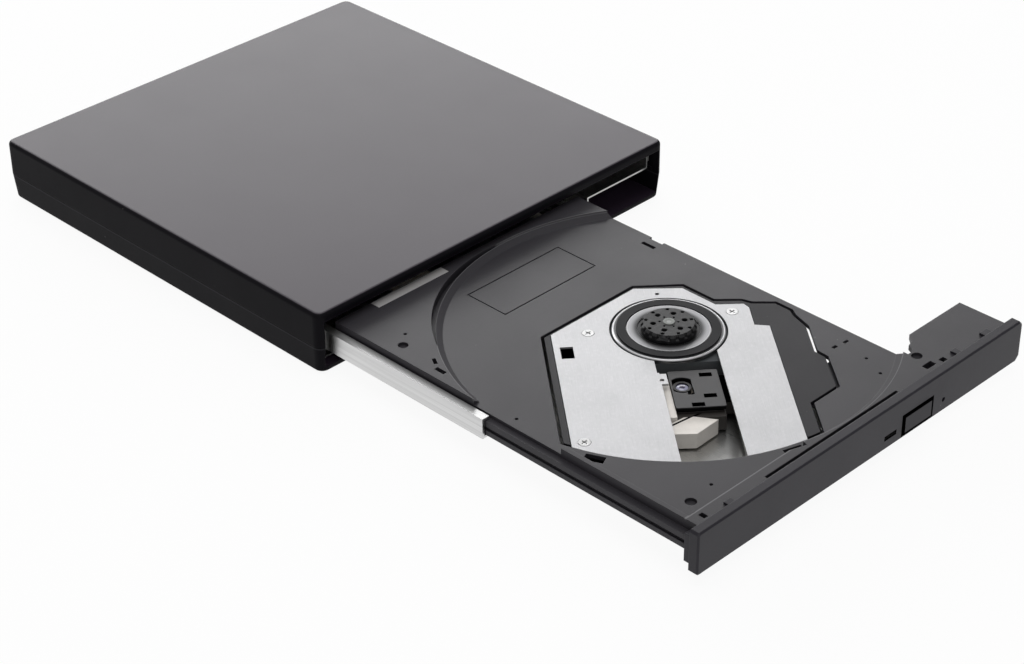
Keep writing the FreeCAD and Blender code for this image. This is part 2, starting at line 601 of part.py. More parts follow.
def usb_socket():
    """Square metal socket, open at the back of the enclosure, with bevelled upper corners."""
    z0 = bridge_board_top()
    z1 = z0 + USB_SOCKET_HEIGHT
    x0 = USB_SOCKET_X - USB_SOCKET_WIDTH / 2
    x1 = USB_SOCKET_X + USB_SOCKET_WIDTH / 2
    y1 = HALF_D - 0.6
    y0 = y1 - USB_SOCKET_LENGTH
    shell = box(x0, x1, y0, y1, z0, z1)
    wall = 1.6
    bevel = 1.8
    inner = [(x0 + wall, z0 + wall), (x1 - wall, z0 + wall), (x1 - wall, z1 - wall - bevel),
             (x1 - wall - bevel, z1 - wall), (x0 + wall + bevel, z1 - wall), (x0 + wall, z1 - wall - bevel)]
    return shell.cut(profile_along_y(inner, y0 + 4.0, y1 + 1))


def usb_tongue():
    """Plastic contact block in the middle of the socket."""
    z0 = bridge_board_top()
    y1 = HALF_D - 0.6
    mid = z0 + USB_SOCKET_HEIGHT / 2
    return box(USB_SOCKET_X - 2.8, USB_SOCKET_X + 2.8, y1 - USB_SOCKET_LENGTH + 4.0, y1 - 3.0,
               mid - 1.6, mid + 1.6)


def power_jack():
    """Barrel jack: a block on the board, a round nose in the back wall, and a centre pin."""
    z = jack_axis_z()
    y1 = HALF_D - 0.6
    block = box(POWER_JACK_X - POWER_JACK_WIDTH / 2, POWER_JACK_X + POWER_JACK_WIDTH / 2,
                y1 - 11.0, IN_Y - 0.3, bridge_board_top(), z + jack_nose_radius() + 0.3)
    nose = Part.makeCylinder(jack_nose_radius(), 6.0, V(POWER_JACK_X, y1 - 6.0, z), V(0, 1, 0))
    bore = Part.makeCylinder(POWER_JACK_BORE_RADIUS, 9.5, V(POWER_JACK_X, y1 - 8.5, z), V(0, 1, 0))
    pin = Part.makeCylinder(POWER_JACK_PIN_RADIUS, 8.5, V(POWER_JACK_X, y1 - 9.5, z), V(0, 1, 0))
    return fused([fused([block, nose]).cut(bore), pin])


def drive_plug():
    """Tall plug on the bridge board, reaching up to the drive's own socket."""
    y0 = WING_Y1 + 1.4
    return box(STEP_X + 4.0, STEP_X + 13.0, y0, y0 + 3.0, bridge_board_top(), RAISED_Z1 + 3.2)


def drive_socket():
    """The drive's socket, in the window of the raised floor's back wall."""
    return box(STEP_X + 4.0, STEP_X + 13.0, WING_Y1 - 6.0, WING_Y1 + 1.4, RAISED_Z1 + 0.2,
               RAISED_Z1 + 3.2)


def main_board():
    """Long narrow board over the raised floor, on three spacers."""
    z0 = RAISED_Z1 + 0.7
    board = box(STEP_X + 2.5, CH_IN_X - 1.0, CH_Y0 + 24, WING_Y1 - 6.5, z0, z0 + BOARD_THICKNESS)
    spacers = [disc(STEP_X + 6, y, RAISED_Z1, z0 + 0.1, 1.6) for y in (CH_Y0 + 30, WING_Y1 - 20)]
    spacers.append(disc(CH_IN_X - 5, CH_Y0 + CHASSIS_DEPTH * 0.4, RAISED_Z1, z0 + 0.1, 1.6))
    return fused([board] + spacers)


def main_chips():
    """Processor, memory, motor driver and the ribbon's latch."""
    z = RAISED_Z1 + 0.7 + BOARD_THICKNESS
    mid = CH_Y0 + CHASSIS_DEPTH * 0.4
    return Part.makeCompound([box(STEP_X + 5, STEP_X + 18, mid - 16, mid - 3, z, z + 1.3),
                              box(STEP_X + 6, STEP_X + 14, mid + 2, mid + 14, z, z + 1.1),
                              box(STEP_X + 16, STEP_X + 22, mid + 3, mid + 9, z, z + 1.4),
                              box(STEP_X + 4, STEP_X + 6.5, CH_Y1 - 30, WING_Y1 - 8, z, z + 1.6)])


def ribbon_floor_run():
    """Flat ribbon: along the pan's floor, then across and up to the main board."""
    thin = 0.15
    z = PAN_FLOOR_Z
    y1 = WING_Y1 - 9
    y0 = CH_Y1 - 29
    top = RAISED_Z1 + 0.7 + BOARD_THICKNESS
    along = box(-28, -14, CH_Y0 + 8, y1, z, z + thin)
    across = box(-28, STEP_X - thin, y0, y1, z, z + thin)
    up = box(STEP_X - 2 * thin, STEP_X - thin, y0, y1, z, top + 2 * thin)
    over = box(STEP_X - 2 * thin, STEP_X + 4, y0, y1, top + thin, top + 2 * thin)
    return fused([along, across, up, over])


def lock_post():
    """Pin on the raised floor that the tray's hook catches."""
    x, y = lock_pivot()
    turn = math.radians(LOCK_ANGLE)
    x += LOCK_REACH * math.cos(turn)
    y += LOCK_REACH * math.sin(turn) + TRAY_TRAVEL
    return fused([disc(x, y, RAISED_Z1, RAISED_Z1 + 1.9, LOCK_POST_RADIUS),
                  disc(x, y, RAISED_Z1, RAISED_Z1 + 0.3, 2 * LOCK_POST_RADIUS)])


def disc_tray():
    """The tray moulding: deck, disc recess, opening, walls, sliders and the plate at the right."""
    z0, z1 = DECK_Z0, RIM_Z
    body = box(TRAY_LEFT_X, TRAY_RIGHT_X, BEZEL_BACK_Y, TRAY_REAR_Y, z0, z1)
    outline = [V(0, 0, DISC_FLOOR_Z), V(RECESS_FLOOR_RADIUS, 0, DISC_FLOOR_Z),
               V(RECESS_RIM_RADIUS, 0, DISC_FLOOR_Z + RECESS_SLOPE_HEIGHT),
               V(RECESS_RIM_RADIUS, 0, RIM_Z + 1), V(0, 0, RIM_Z + 1)]
    recess = Part.Face(Part.makePolygon(outline + outline[:1])).revolve(V(0, 0, 0), V(0, 0, 1), 360)
    recess.translate(V(0, SPINDLE_Y, 0))
    crescent_x = CRESCENT_OFFSET * math.cos(math.radians(CRESCENT_ANGLE))
    crescent_y = CRESCENT_OFFSET * math.sin(math.radians(CRESCENT_ANGLE))
    crescent = disc(crescent_x, SPINDLE_Y + crescent_y, DISC_FLOOR_Z - 0.7, RIM_Z + 1, CRESCENT_RADIUS)
    crescent = crescent.cut(disc(0, SPINDLE_Y, z0 - 1, RIM_Z + 2, RECESS_RIM_RADIUS))
    corner = box(TRAY_LEFT_X + 1.4, 0, FRONT_STEP_Y, SPINDLE_Y, DISC_FLOOR_Z, RIM_Z + 1)
    edge_gap = box(TRAY_LEFT_X - 1, TRAY_LEFT_X + 2, SPINDLE_Y - 18.6, SPINDLE_Y + 11.6,
                   DISC_FLOOR_Z, RIM_Z + 1)
    body = without(body, [recess, crescent, corner, edge_gap])
    # The deck is a plate of even thickness, so the higher parts are hollow below
    under_rear = prism([(TRAY_LEFT_X + TRAY_WALL, TRAY_REAR_Y - TRAY_WALL),
                        (TRAY_LEFT_X + TRAY_WALL, TRAY_REAR_Y - 21.6),
                        (TRAY_LEFT_X + 10, TRAY_REAR_Y - 21.6),
                        (TRAY_LEFT_X + 27, TRAY_REAR_Y - 4.6), (TRAY_LEFT_X + 27, TRAY_REAR_Y - TRAY_WALL)],
                       z0 - 1, RIM_Z - DECK_THICKNESS - 0.2)
    pickup_way = at_spindle(box(50.0, LENS_RADIUS_AT_REST + PICKUP_TRAVEL_OUT + PICKUP_FRONT + 1.0,
                                SLOT_LEFT - 0.1, SLOT_RIGHT + 0.1, z0 - 1, PICKUP_WAY_Z1))
    body = without(body, [under_rear, pickup_way])
    flag = tray_flag()
    walls = tray_walls()
    body = fused([body, flag] + walls)
    return without(body, [opening_prism()] + tray_holes())


def tray_flag():
    """The plate that reaches right behind the bezel, over the raised floor."""
    y0, y1 = BEZEL_BACK_Y, BEZEL_BACK_Y + FLAG_DEPTH
    x0 = TRAY_RIGHT_X
    points = [(x0 - 1.0, y0), (x0 + FLAG_LENGTH, y0), (x0 + FLAG_LENGTH, y1), (x0 + 7.6, y1),
              (x0 + 5.2, y1 - 2.5), (x0 + 3.4, y1 - 3.0), (x0 + 2.6, y1 - 4.6), (x0 + 1.6, y1 - 5.4),
              (x0 - 1.0, y1 - 5.4)]
    return prism(points, RIM_Z - FLAG_THICKNESS, RIM_Z)


def tray_walls():
    """Skirts, front and rear walls, ribs and the sliders that run in the rails."""
    z1 = DECK_Z0 + 0.1
    lx, rx = TRAY_LEFT_X, RIGHT_SKIRT_X
    right_y0 = SPINDLE_Y - 19.0
    walls = [box(lx, lx + TRAY_WALL, BEZEL_BACK_Y, TRAY_REAR_Y, SKIRT_Z0, z1),
             box(rx - TRAY_WALL, rx, right_y0, TRAY_REAR_Y, SKIRT_Z0 - 1.0, z1),
             box(lx, TRAY_RIGHT_X, BEZEL_BACK_Y, FRONT_WALL_Y, TUB_Z1, z1 + 1),
             box(TRAY_RIGHT_X, TRAY_RIGHT_X + FLAG_LENGTH - 0.4, BEZEL_BACK_Y, FRONT_WALL_Y,
                 RAISED_Z1 + 0.6, RIM_Z - 1),
             box(lx, rx, TRAY_REAR_Y - TRAY_WALL, TRAY_REAR_Y, SKIRT_Z0, z1)]
    for y in (SPINDLE_Y + 30, SPINDLE_Y + 44):
        walls.append(box(lx, rx, y - 0.5, y + 0.5, SKIRT_Z0 + 2.0, z1))
    walls.append(box(-3.5, -2.5, SPINDLE_Y + 30, TRAY_REAR_Y, SKIRT_Z0 + 2.0, z1))
    for x, y in ((5.0, BEZEL_BACK_Y + 9.6), (14.5, BEZEL_BACK_Y + 10.4)):
        walls.append(disc(x, y, TUB_Z0 + 0.8, z1, 1.3))
    low = LEFT_RAIL_Z0 + RAIL_SHEET + RAIL_CLEARANCE
    high = LEFT_RAIL_Z1 - RAIL_SHEET - RAIL_CLEARANCE
    slider = box(lx - SLIDER_DEPTH, lx, BEZEL_BACK_Y + 2.8, SLIDER_REAR_Y, low, high)
    middle = (low + high) / 2
    channel = box(lx - SLIDER_DEPTH - 1, lx - SLIDER_DEPTH + 0.7, BEZEL_BACK_Y - 1, SLIDER_REAR_Y + 1,
                  middle - 0.6, middle + 0.5)
    walls.append(slider.cut(channel))
    low = RIGHT_RAIL_Z0 + RAIL_SHEET + RAIL_CLEARANCE
    high = RIGHT_RAIL_Z1 - RAIL_SHEET - RAIL_CLEARANCE
    walls.append(box(rx, rx + SLIDER_DEPTH, right_y0, SLIDER_REAR_Y, low, high))
    return walls


def opening_face():
    """The tray's opening: a polygon closed by the arc of the disc recess at the left front."""
    points = from_spindle(OPENING_POINTS)
    reach = RECESS_FLOOR_RADIUS + 20
    turn = math.radians(TRAVERSE_ANGLE)
    left = PLATE_LEFT_W - 2.7
    far = (reach * math.cos(turn) - left * math.sin(turn), reach * math.sin(turn) + left * math.cos(turn))
    near_front = (OPENING_POINTS[-1][0] - 20, OPENING_POINTS[-1][1] - 24)
    polygon = points + from_spindle([near_front, far])
    circle = Part.Face(Part.Wire(Part.makeCircle(RECESS_FLOOR_RADIUS, V(0, SPINDLE_Y, 0))))
    return face_of(polygon).common(circle).removeSplitter().Faces[0]


def opening_prism():
    return raise_face(opening_face(), DECK_Z0 - 2, RIM_Z + 2)


def slot_box(x, y, length, width, angle):
    """Upright slot cutter, long side at the angle from X."""
    shape = box(-length / 2, length / 2, -width / 2, width / 2, DECK_Z0 - 2, RIM_Z + 2)
    shape.rotate(V(0, 0, 0), V(0, 0, 1), angle)
    shape.translate(V(x, y, 0))
    return shape


def tray_holes():
    """Pin holes, clip slots and the shallow frame engraved behind the opening."""
    s, b = SPINDLE_Y, BEZEL_BACK_Y
    cutters = [disc(-55.4, s + 42.4, RIM_Z - PIN_HOLE_DEPTH, RIM_Z + 2, 1.4),
               disc(-51.4, s + 45.9, DECK_Z0 - 2, RIM_Z + 2, 0.5),
               disc(-56.9, s - 0.4, DECK_Z0 - 2, RIM_Z + 2, 0.5),
               disc(-52.4, b + 9.7, DISC_FLOOR_Z - PIN_HOLE_DEPTH, RIM_Z + 2, 1.5),
               disc(-43.9, b + 10.7, DECK_Z0 - 2, RIM_Z + 2, 0.5),
               disc(25.1, b + 18.0, DECK_Z0 - 2, RIM_Z + 2, 0.5),
               disc(22.1, b + 11.2, DECK_Z0 - 2, RIM_Z + 2, 0.5),
               disc(TRAY_RIGHT_X + 0.9, b + 8.0, RIM_Z - PIN_HOLE_DEPTH, RIM_Z + 2, 1.5),
               slot_box(-54.9, s + 31.1, 2.6, 1.0, 60), slot_box(-56.9, s + 26.9, 3.4, 1.3, 90),
               slot_box(28.1, s + 32.6, 4.6, 1.2, 90), slot_box(31.6, s + 32.6, 4.6, 1.0, 90),
               slot_box(23.6, s - 36.4, 1.6, 1.0, 0), slot_box(27.6, s - 36.9, 1.8, 0.9, 0),
               slot_box(-9.0, b + 1.75, 51.0, 0.9, 0), slot_box(-56.2, b + 2.6, 1.4, 2.0, 0),
               slot_box(TRAY_RIGHT_X - 0.4, b + 3.2, 3.6, 1.9, 0),
               slot_box(TRAY_RIGHT_X + 4.2, b + 2.2, 1.9, 1.5, 0)]
    for angle in (-155.2, -108.3):
        x = 61.3 * math.cos(math.radians(angle))
        y = s + 61.3 * math.sin(math.radians(angle))
        cutters.append(slot_box(x, y, 5.2, 2.7, angle + 90))
    frame = box(-24.9, 10.1, s + 35.6, s + 50.1, DISC_FLOOR_Z - 0.25, DISC_FLOOR_Z + 1)
    inside = box(-24.5, 9.7, s + 36.0, s + 49.7, DISC_FLOOR_Z - 1, DISC_FLOOR_Z + 2)
    cutters.append(frame.cut(inside))
    return cutters


def bezel():
    """Front panel, rounded at its front edges, with windows for button, light and release pin."""
    half = BEZEL_WIDTH / 2
    top_cut, low_cut = 1.1, 1.5
    outline = [(-half, BEZEL_Z0 + 0.6), (-half + 0.6, BEZEL_Z0), (half - low_cut, BEZEL_Z0),
               (half, BEZEL_Z0 + low_cut), (half, BEZEL_Z1 - top_cut), (half - top_cut, BEZEL_Z1),
               (-half + 0.6, BEZEL_Z1), (-half, BEZEL_Z1 - 0.6)]
    panel = profile_along_y(outline, BEZEL_FRONT_Y, BEZEL_BACK_Y)
    front = [e for e in panel.Edges if e.BoundBox.YMax < BEZEL_FRONT_Y + 0.01]
    panel = panel.makeChamfer(BEZEL_EDGE_RADIUS * 0.6, front)
    bracket = box(TRAY_LEFT_X - 2.9, TRAY_LEFT_X - 0.2, BEZEL_BACK_Y, BEZEL_BACK_Y + 2.4,
                  BEZEL_Z0 + 1.5, BEZEL_Z0 + 9.5)
    right_clip = box(TRAY_RIGHT_X + 20.0, TRAY_RIGHT_X + 23.0, BEZEL_BACK_Y, BEZEL_BACK_Y + 2.4,
                     RIM_Z, RIM_Z + 0.7)
    middle_clip = box(TRAY_RIGHT_X + 8.0, TRAY_RIGHT_X + 10.0, BEZEL_BACK_Y, BEZEL_BACK_Y + 2.8,
                      RIM_Z, RIM_Z + 0.6)
    left_clip = box(-49.5, -47.0, BEZEL_BACK_Y, BEZEL_BACK_Y + 2.2, RIM_Z, RIM_Z + 0.6)
    panel = fused([panel, bracket, right_clip, middle_clip, left_clip])
    y0, y1 = BEZEL_FRONT_Y - 1, BEZEL_BACK_Y + 1
    z = BEZEL_Z0 + BUTTON_ABOVE_BEZEL_BASE
    half_w = BUTTON_WIDTH / 2 + BUTTON_CLEARANCE
    half_h = BUTTON_HEIGHT / 2 + BUTTON_CLEARANCE
    button = box(BUTTON_X - half_w, BUTTON_X + half_w, y0, y1, z - half_h, z + half_h)
    light = box(LIGHT_X - LIGHT_WIDTH / 2, LIGHT_X + LIGHT_WIDTH / 2, y0, y1,
                z - 0.4 - LIGHT_HEIGHT / 2, z - 0.4 + LIGHT_HEIGHT / 2)
    pin = Part.makeCylinder(RELEASE_HOLE_RADIUS, BEZEL_THICKNESS + 2, V(RELEASE_HOLE_X, y0, z - 0.2),
                            V(0, 1, 0))
    return without(panel, [button, light, pin])


def front_passages():
    """Holes in the tray's front wall for the button's stem, the light and the release pin."""
    z = BEZEL_Z0 + BUTTON_ABOVE_BEZEL_BASE
    y0, y1 = BEZEL_BACK_Y - 1, FRONT_WALL_Y + 1
    half_w = BUTTON_WIDTH / 2 + 1
    half_light = LIGHT_WIDTH / 2 + 0.3
    return [box(BUTTON_X - half_w, BUTTON_X + half_w, y0, y1, TUB_Z1 - 1, z + 3.6),
            box(LIGHT_X - half_light, LIGHT_X + half_light, y0, y1, TUB_Z1 - 1, z + 0.8),
            Part.makeCylinder(RELEASE_HOLE_RADIUS + 0.2, 4, V(RELEASE_HOLE_X, y0, z - 0.2), V(0, 1, 0))]


def eject_button():
    """Button cap with a rim that keeps it in its window, and a stem towards the switch."""
    z = BEZEL_Z0 + BUTTON_ABOVE_BEZEL_BASE
    half_w, half_h = BUTTON_WIDTH / 2, BUTTON_HEIGHT / 2
    cap = box(BUTTON_X - half_w, BUTTON_X + half_w, BEZEL_FRONT_Y - BUTTON_PROUD, BEZEL_BACK_Y + 0.1,
              z - half_h, z + half_h)
    lengthwise = [e for e in cap.Edges if e.BoundBox.YLength > 1]
    cap = cap.makeFillet(0.5, lengthwise)
    rim = box(BUTTON_X - half_w - 0.7, BUTTON_X + half_w + 0.7, BEZEL_BACK_Y + 0.05, BEZEL_BACK_Y + 0.45,
              z - half_h - 0.5, z + half_h + 0.6)
    stem = box(switch_x() - 1.0, switch_x() + 1.0, BEZEL_BACK_Y, BEZEL_BACK_Y + 0.9, z - 1.0, z + 1.0)
    return fused([cap, rim, stem])


def switch_x():
    return BUTTON_X - SWITCH_LEFT_OF_BUTTON


def front_board():
    """Board across the tray's front, under the switch, the light and the solenoid."""
    return box(FRONT_BOARD_X0, RIGHT_SKIRT_X - 0.2, FRONT_WALL_Y, FRONT_BOARD_Y1, TUB_Z0, TUB_Z0 + 0.8)


def eject_switch():
    """Push switch behind the eject button."""
    z = BEZEL_Z0 + BUTTON_ABOVE_BEZEL_BASE
    y = BEZEL_BACK_Y + 0.9 + BUTTON_TRAVEL
    knob = Part.makeCylinder(0.9, 0.9, V(switch_x(), y + 0.1, z), V(0, 1, 0))
    case = box(switch_x() - 2.2, switch_x() + 2.2, y + 0.9, y + 4.0, TUB_Z0 + 0.8, z + 1.8)
    return fused([knob, case])


def status_light():
    """Light guide: lens in the bezel's slot, arm back to the lamp on the board."""
    z = BEZEL_Z0 + BUTTON_ABOVE_BEZEL_BASE - 0.4
    lens = box(LIGHT_X - LIGHT_WIDTH / 2 + 0.05, LIGHT_X + LIGHT_WIDTH / 2 - 0.05, BEZEL_FRONT_Y + 0.1,
               BEZEL_BACK_Y + 2.4, z - LIGHT_HEIGHT / 2 + 0.05, z + LIGHT_HEIGHT / 2 - 0.05)
    lamp = box(LIGHT_X - 1.4, LIGHT_X + 1.4, BEZEL_BACK_Y + 1.8, BEZEL_BACK_Y + 4.4, TUB_Z0 + 0.8, z + 0.9)
    return fused([lens, lamp])


def lock_solenoid():
    """Small solenoid that pulls the lock hook."""
    y = BEZEL_BACK_Y + 5.5
    x1 = RIGHT_SKIRT_X - 0.4
    z0 = TUB_Z0 + 0.8
    frame = box(x1 - 8.4, x1, y - 2.8, y + 2.8, z0, z0 + 5.6)
    window = box(x1 - 7.2, x1 - 1.2, y - 3, y + 3, z0 + 0.8, z0 + 4.8)
    coil = Part.makeCylinder(1.8, 6.4, V(x1 - 7.4, y, z0 + 2.8), V(1, 0, 0))
    return fused([frame.cut(window), coil])


def lock_hook():
    """Lever under the plate at the tray's right end, drawn in its released place.

    The hooked arm is drawn along the line from the pivot to the locked post, then turned back
    by the swing. The tail steps down to the solenoid and to the release pin's hole.
    """
    px, py = lock_pivot()
    z0, z1 = RAISED_Z1 + 0.5, RAISED_Z1 + 1.6
    side = LOCK_POST_RADIUS + LOCK_CLEARANCE
    tip = LOCK_REACH + side
    arm = [(-1.2, -1.4), (1.5, -side - 1.7), (tip + 1.2, -side - 1.5), (tip + 1.8, -side - 0.3),
           (tip + 1.4, 0.4), (tip + 0.4, 0.8), (tip, 0.6), (tip, -side), (2.4, -side), (0.6, 1.4)]
    lever = prism(arm, z0, z1).fuse(disc(0, 0, z0, z1, 2.0))
    lever.rotate(V(0, 0, 0), V(0, 0, 1), LOCK_ANGLE - LOCK_SWING)
    lever.translate(V(px, py, 0))
    tail_x = TRAY_RIGHT_X + 0.7
    tail = prism([(tail_x, py - 0.4), (px, py - 1.6), (px, py + 1.6), (tail_x, py + 0.8)], z0, z1)
    drop = box(tail_x, tail_x + 1.0, py - 0.4, py + 0.6, z0 - 5.4, z1)
    foot = box(tail_x - 3.8, tail_x + 1.0, py - 0.4, py + 0.6, z0 - 5.4, z0 - 3.2)
    lever = fused([lever, tail, drop, foot])
    return lever.cut(disc(px, py, z0 - 1, z1 + 1, 0.85))


def lock_pivot():
    return TRAY_RIGHT_X + 6.6, BEZEL_BACK_Y + 3.6


def lock_pivot_pin():
    """Pin under the tray's plate that the lock hook turns on."""
    px, py = lock_pivot()
    z1 = RIM_Z - FLAG_THICKNESS
    return fused([disc(px, py, RAISED_Z1 + 0.45, z1, 0.8), disc(px, py, RAISED_Z1 + 1.7, z1, 1.3)])


def plate_face():
    """Outline of the bright plate before its slot and holes are cut."""
    turn = math.radians(TRAVERSE_ANGLE)
    reach = RECESS_FLOOR_RADIUS + 20
    polygon = list(PLATE_POINTS)
    for w in (PLATE_RIGHT_W, PLATE_LEFT_W):
        polygon.append((reach * math.cos(turn) - w * math.sin(turn),
                        reach * math.sin(turn) + w * math.cos(turn)))
    circle = Part.makeCircle(RECESS_FLOOR_RADIUS - 0.15, V(0, SPINDLE_Y, 0))
    return face_of(from_spindle(polygon)).common(Part.Face(Part.Wire(circle))).Faces[0]


def cover_plate():
    """Bright steel plate round the turntable, with the pickup's slot and a small guide lug."""
    low, high = PLATE_Z0 - 1, PLATE_Z1 + 1
    plate = raise_face(plate_face(), PLATE_Z0, PLATE_Z1)
    slot = at_spindle(box(0, 80, SLOT_LEFT, SLOT_RIGHT, low, high))
    hole = disc(0, SPINDLE_Y, low, high, SPINDLE_HOLE_RADIUS)
    square = at_spindle(box(5.7, 11.2, -29.3, -25.9, low, high))
    notch = at_spindle(box(12.0, 20.0, SLOT_LEFT - 0.5, SLOT_LEFT + 1, low, high))
    lug = at_spindle(box(20.6, 25.2, SLOT_LEFT - 1, SLOT_LEFT + 1.7, PLATE_Z0, PLATE_Z1))
    plate = without(plate, [slot, hole, square, notch]).fuse(lug)
    holes = [disc(10.9, SPINDLE_Y + 13.9, low, high, 0.6),
             at_spindle(disc(23.4, SLOT_LEFT + 0.3, low, high, 0.6))]
    for x, y in from_spindle(PLATE_SCREWS):
        holes.append(disc(x, y, low, high, 1.7))
    return without(plate, holes).removeSplitter()


def inner_cover():
    """Dark plastic cover that fills the opening up to an even groove, level with the bright plate
    where it isn't under it, with a lip that closes the groove's front right part from below."""
    face = opening_face().makeOffset2D(-GROOVE_WIDTH, 2)
    cover = raise_face(face, INNER_Z0, PLATE_Z0)
    reach = RECESS_FLOOR_RADIUS + 20
    slot = at_spindle(box(0, reach, SLOT_LEFT - 0.4, SLOT_RIGHT + 0.4, INNER_Z0 - 1, PLATE_Z1))
    hole = disc(0, SPINDLE_Y, INNER_Z0 - 1, PLATE_Z1, SPINDLE_HOLE_RADIUS + 0.4)
    holes = [disc(x, y, INNER_Z0 - 1, PLATE_Z1, 1.7) for x, y in from_spindle(PLATE_SCREWS)]
    level = raise_face(face, PLATE_Z0 - 0.1, PLATE_Z1 - 0.1)
    clear = raise_face(plate_face().makeOffset2D(0.2, 2), PLATE_Z0, PLATE_Z1 + 1)
    lip = raise_face(opening_face().makeOffset2D(0.8, 2), INNER_Z0, DECK_Z0 - 0.1)
    lip = lip.common(box(0.0, 24.0, SPINDLE_Y - 60, SPINDLE_Y - 38.6, INNER_Z0, DECK_Z0))
    rail_way = box(RIGHT_SKIRT_X, TRAY_RIGHT_X, SPINDLE_Y - 60, SPINDLE_Y + 60, INNER_Z0 - 1,
                   RIGHT_RAIL_Z1 + 0.1)
    return without(fused([cover, level.cut(clear), lip]), [slot, hole, rail_way] + holes)


def frame_outline():
    """Traverse frame seen from above, inside the tray's opening and under its left front deck."""
    inset = raise_face(opening_face().makeOffset2D(-GROOVE_WIDTH - 0.6, 2), FRAME_Z0, FRAME_Z1)
    track = at_spindle(box(10, 78.0, SECOND_SHAFT_W - 3.7, LEAD_SCREW_W + 4.2, FRAME_Z0, FRAME_Z1))
    limit = box(TUB_LEFT_X + SHEET + 0.4, RIGHT_SKIRT_X - 2, FRONT_WALL_Y + SHEET + 0.8, SPINDLE_Y + 40,
                FRAME_Z0 - 1, FRAME_Z1 + 1)
    return fused([inset, track]).common(limit)


def traverse_frame():
    """Stiff plate with a walled window for the pickup, bearings for both shafts and a motor well."""
    whole = frame_outline()
    slab = whole.common(box(-100, 100, SPINDLE_Y - 90, SPINDLE_Y + 60, FRAME_PLATE_Z0, FRAME_Z1))
    far = LENS_RADIUS_AT_REST + PICKUP_TRAVEL_OUT + 20.2
    left, right = SECOND_SHAFT_W - 2.4, LEAD_SCREW_W + 3.0
    window = at_spindle(box(SHAFT_START + 1.5, far, left, right, FRAME_Z0 - 1, FRAME_Z1 + 1))
    outer = at_spindle(box(SHAFT_START - 0.5, far + 4.0, left - 1.2, right + 1.2, FRAME_Z0, FRAME_Z1))
    limit = box(TUB_LEFT_X + SHEET + 0.4, 60, FRONT_WALL_Y + SHEET + 0.8, SPINDLE_Y + 40, FRAME_Z0, FRAME_Z1)
    inner_limit = box(TUB_LEFT_X + SHEET + 1.6, 60, FRONT_WALL_Y + SHEET + 2.0, SPINDLE_Y + 60,
                      FRAME_Z0 - 1, FRAME_Z1 + 1)
    walls = outer.common(limit)
    body = fused([slab, walls]).cut(window.common(inner_limit))
    bell = disc(0, SPINDLE_Y, FRAME_Z0 - 1, FRAME_Z1 + 1, BELL_RADIUS + 0.5)
    motor_well = at_spindle(box(0.2, MOTOR_END + 1.0, LEAD_SCREW_W - MOTOR_RADIUS,
                                LEAD_SCREW_W + MOTOR_RADIUS, FRAME_Z0 - 1, SHAFT_Z + MOTOR_RADIUS))
    body = without(body, [bell, motor_well])
    lug = at_spindle(box(screw_end() - 1.2, screw_end() + 0.4, LEAD_SCREW_W - 2.0, LEAD_SCREW_W + 4.2,
                         FRAME_Z0, SHAFT_Z + 1.6))
    body = fused([body, lug.common(limit)])
    for w, radius, y0, y1 in shaft_runs():
        bore = Part.makeCylinder(radius + 0.02, y1 - y0 + 0.2, V(y0 - 0.1, w, SHAFT_Z), V(1, 0, 0))
        body = body.cut(at_spindle(bore))
    bore = Part.makeCylinder(SCREW_CORE_RADIUS + SHAFT_RUNNING_FIT, screw_end(), V(11, LEAD_SCREW_W, SHAFT_Z),
                             V(1, 0, 0))
    holes = [at_spindle(bore)]
    holes += [disc(x, y, FRAME_Z0 - 1, FRAME_Z1 + 1, 1.1) for x, y in from_spindle(PLATE_SCREWS)]
    return max(without(body, holes).Solids, key=lambda s: s.Volume)


def along_to_front(w):
    """How far out a line at sideways place w meets the middle of the frame's front wall."""
    turn = math.radians(TRAVERSE_ANGLE)
    wall_y = FRONT_WALL_Y + SHEET + 1.4 - SPINDLE_Y
    return (wall_y - w * math.cos(turn)) / math.sin(turn)


def along_to_left(w):
    """How far out a line at sideways place w meets the middle of the frame's left wall."""
    turn = math.radians(TRAVERSE_ANGLE)
    wall_x = TUB_LEFT_X + SHEET + 1.0
    return (wall_x + w * math.sin(turn)) / math.cos(turn)


def shaft_runs():
    """Sideways place, radius, start and end of both guide shafts, along the pickup's way."""
    return [(MAIN_SHAFT_W, MAIN_SHAFT_RADIUS, SHAFT_START, along_to_front(MAIN_SHAFT_W)),
            (SECOND_SHAFT_W, SECOND_SHAFT_RADIUS, SHAFT_START, along_to_left(SECOND_SHAFT_W))]


def screw_end():
    """Where the lead screw ends, just past the pickup's arm at its outermost."""
    return LENS_RADIUS_AT_REST + PICKUP_TRAVEL_OUT + 4.8


def guide_shaft(which):
    """Polished steel shaft that the pickup slides on."""
    w, radius, x0, x1 = shaft_runs()[which]
    return at_spindle(Part.makeCylinder(radius, x1 - x0, V(x0, w, SHAFT_Z), V(1, 0, 0)))


def lead_screw():
    """Feed screw: a core that runs in the motor and in the frame, with a run of thread crests."""
    start = MOTOR_END + 0.2
    core = Part.makeCylinder(SCREW_CORE_RADIUS, screw_end() - start, V(start, LEAD_SCREW_W, SHAFT_Z),
                             V(1, 0, 0))
    first = start + 2.2
    count = int((screw_end() - 2.0 - first) / LEAD_SCREW_PITCH)
    crests = [Part.makeCylinder(LEAD_SCREW_RADIUS, LEAD_SCREW_PITCH * 0.5,
                                V(first + i * LEAD_SCREW_PITCH, LEAD_SCREW_W, SHAFT_Z), V(1, 0, 0))
              for i in range(count)]
    return at_spindle(fused([core] + crests))


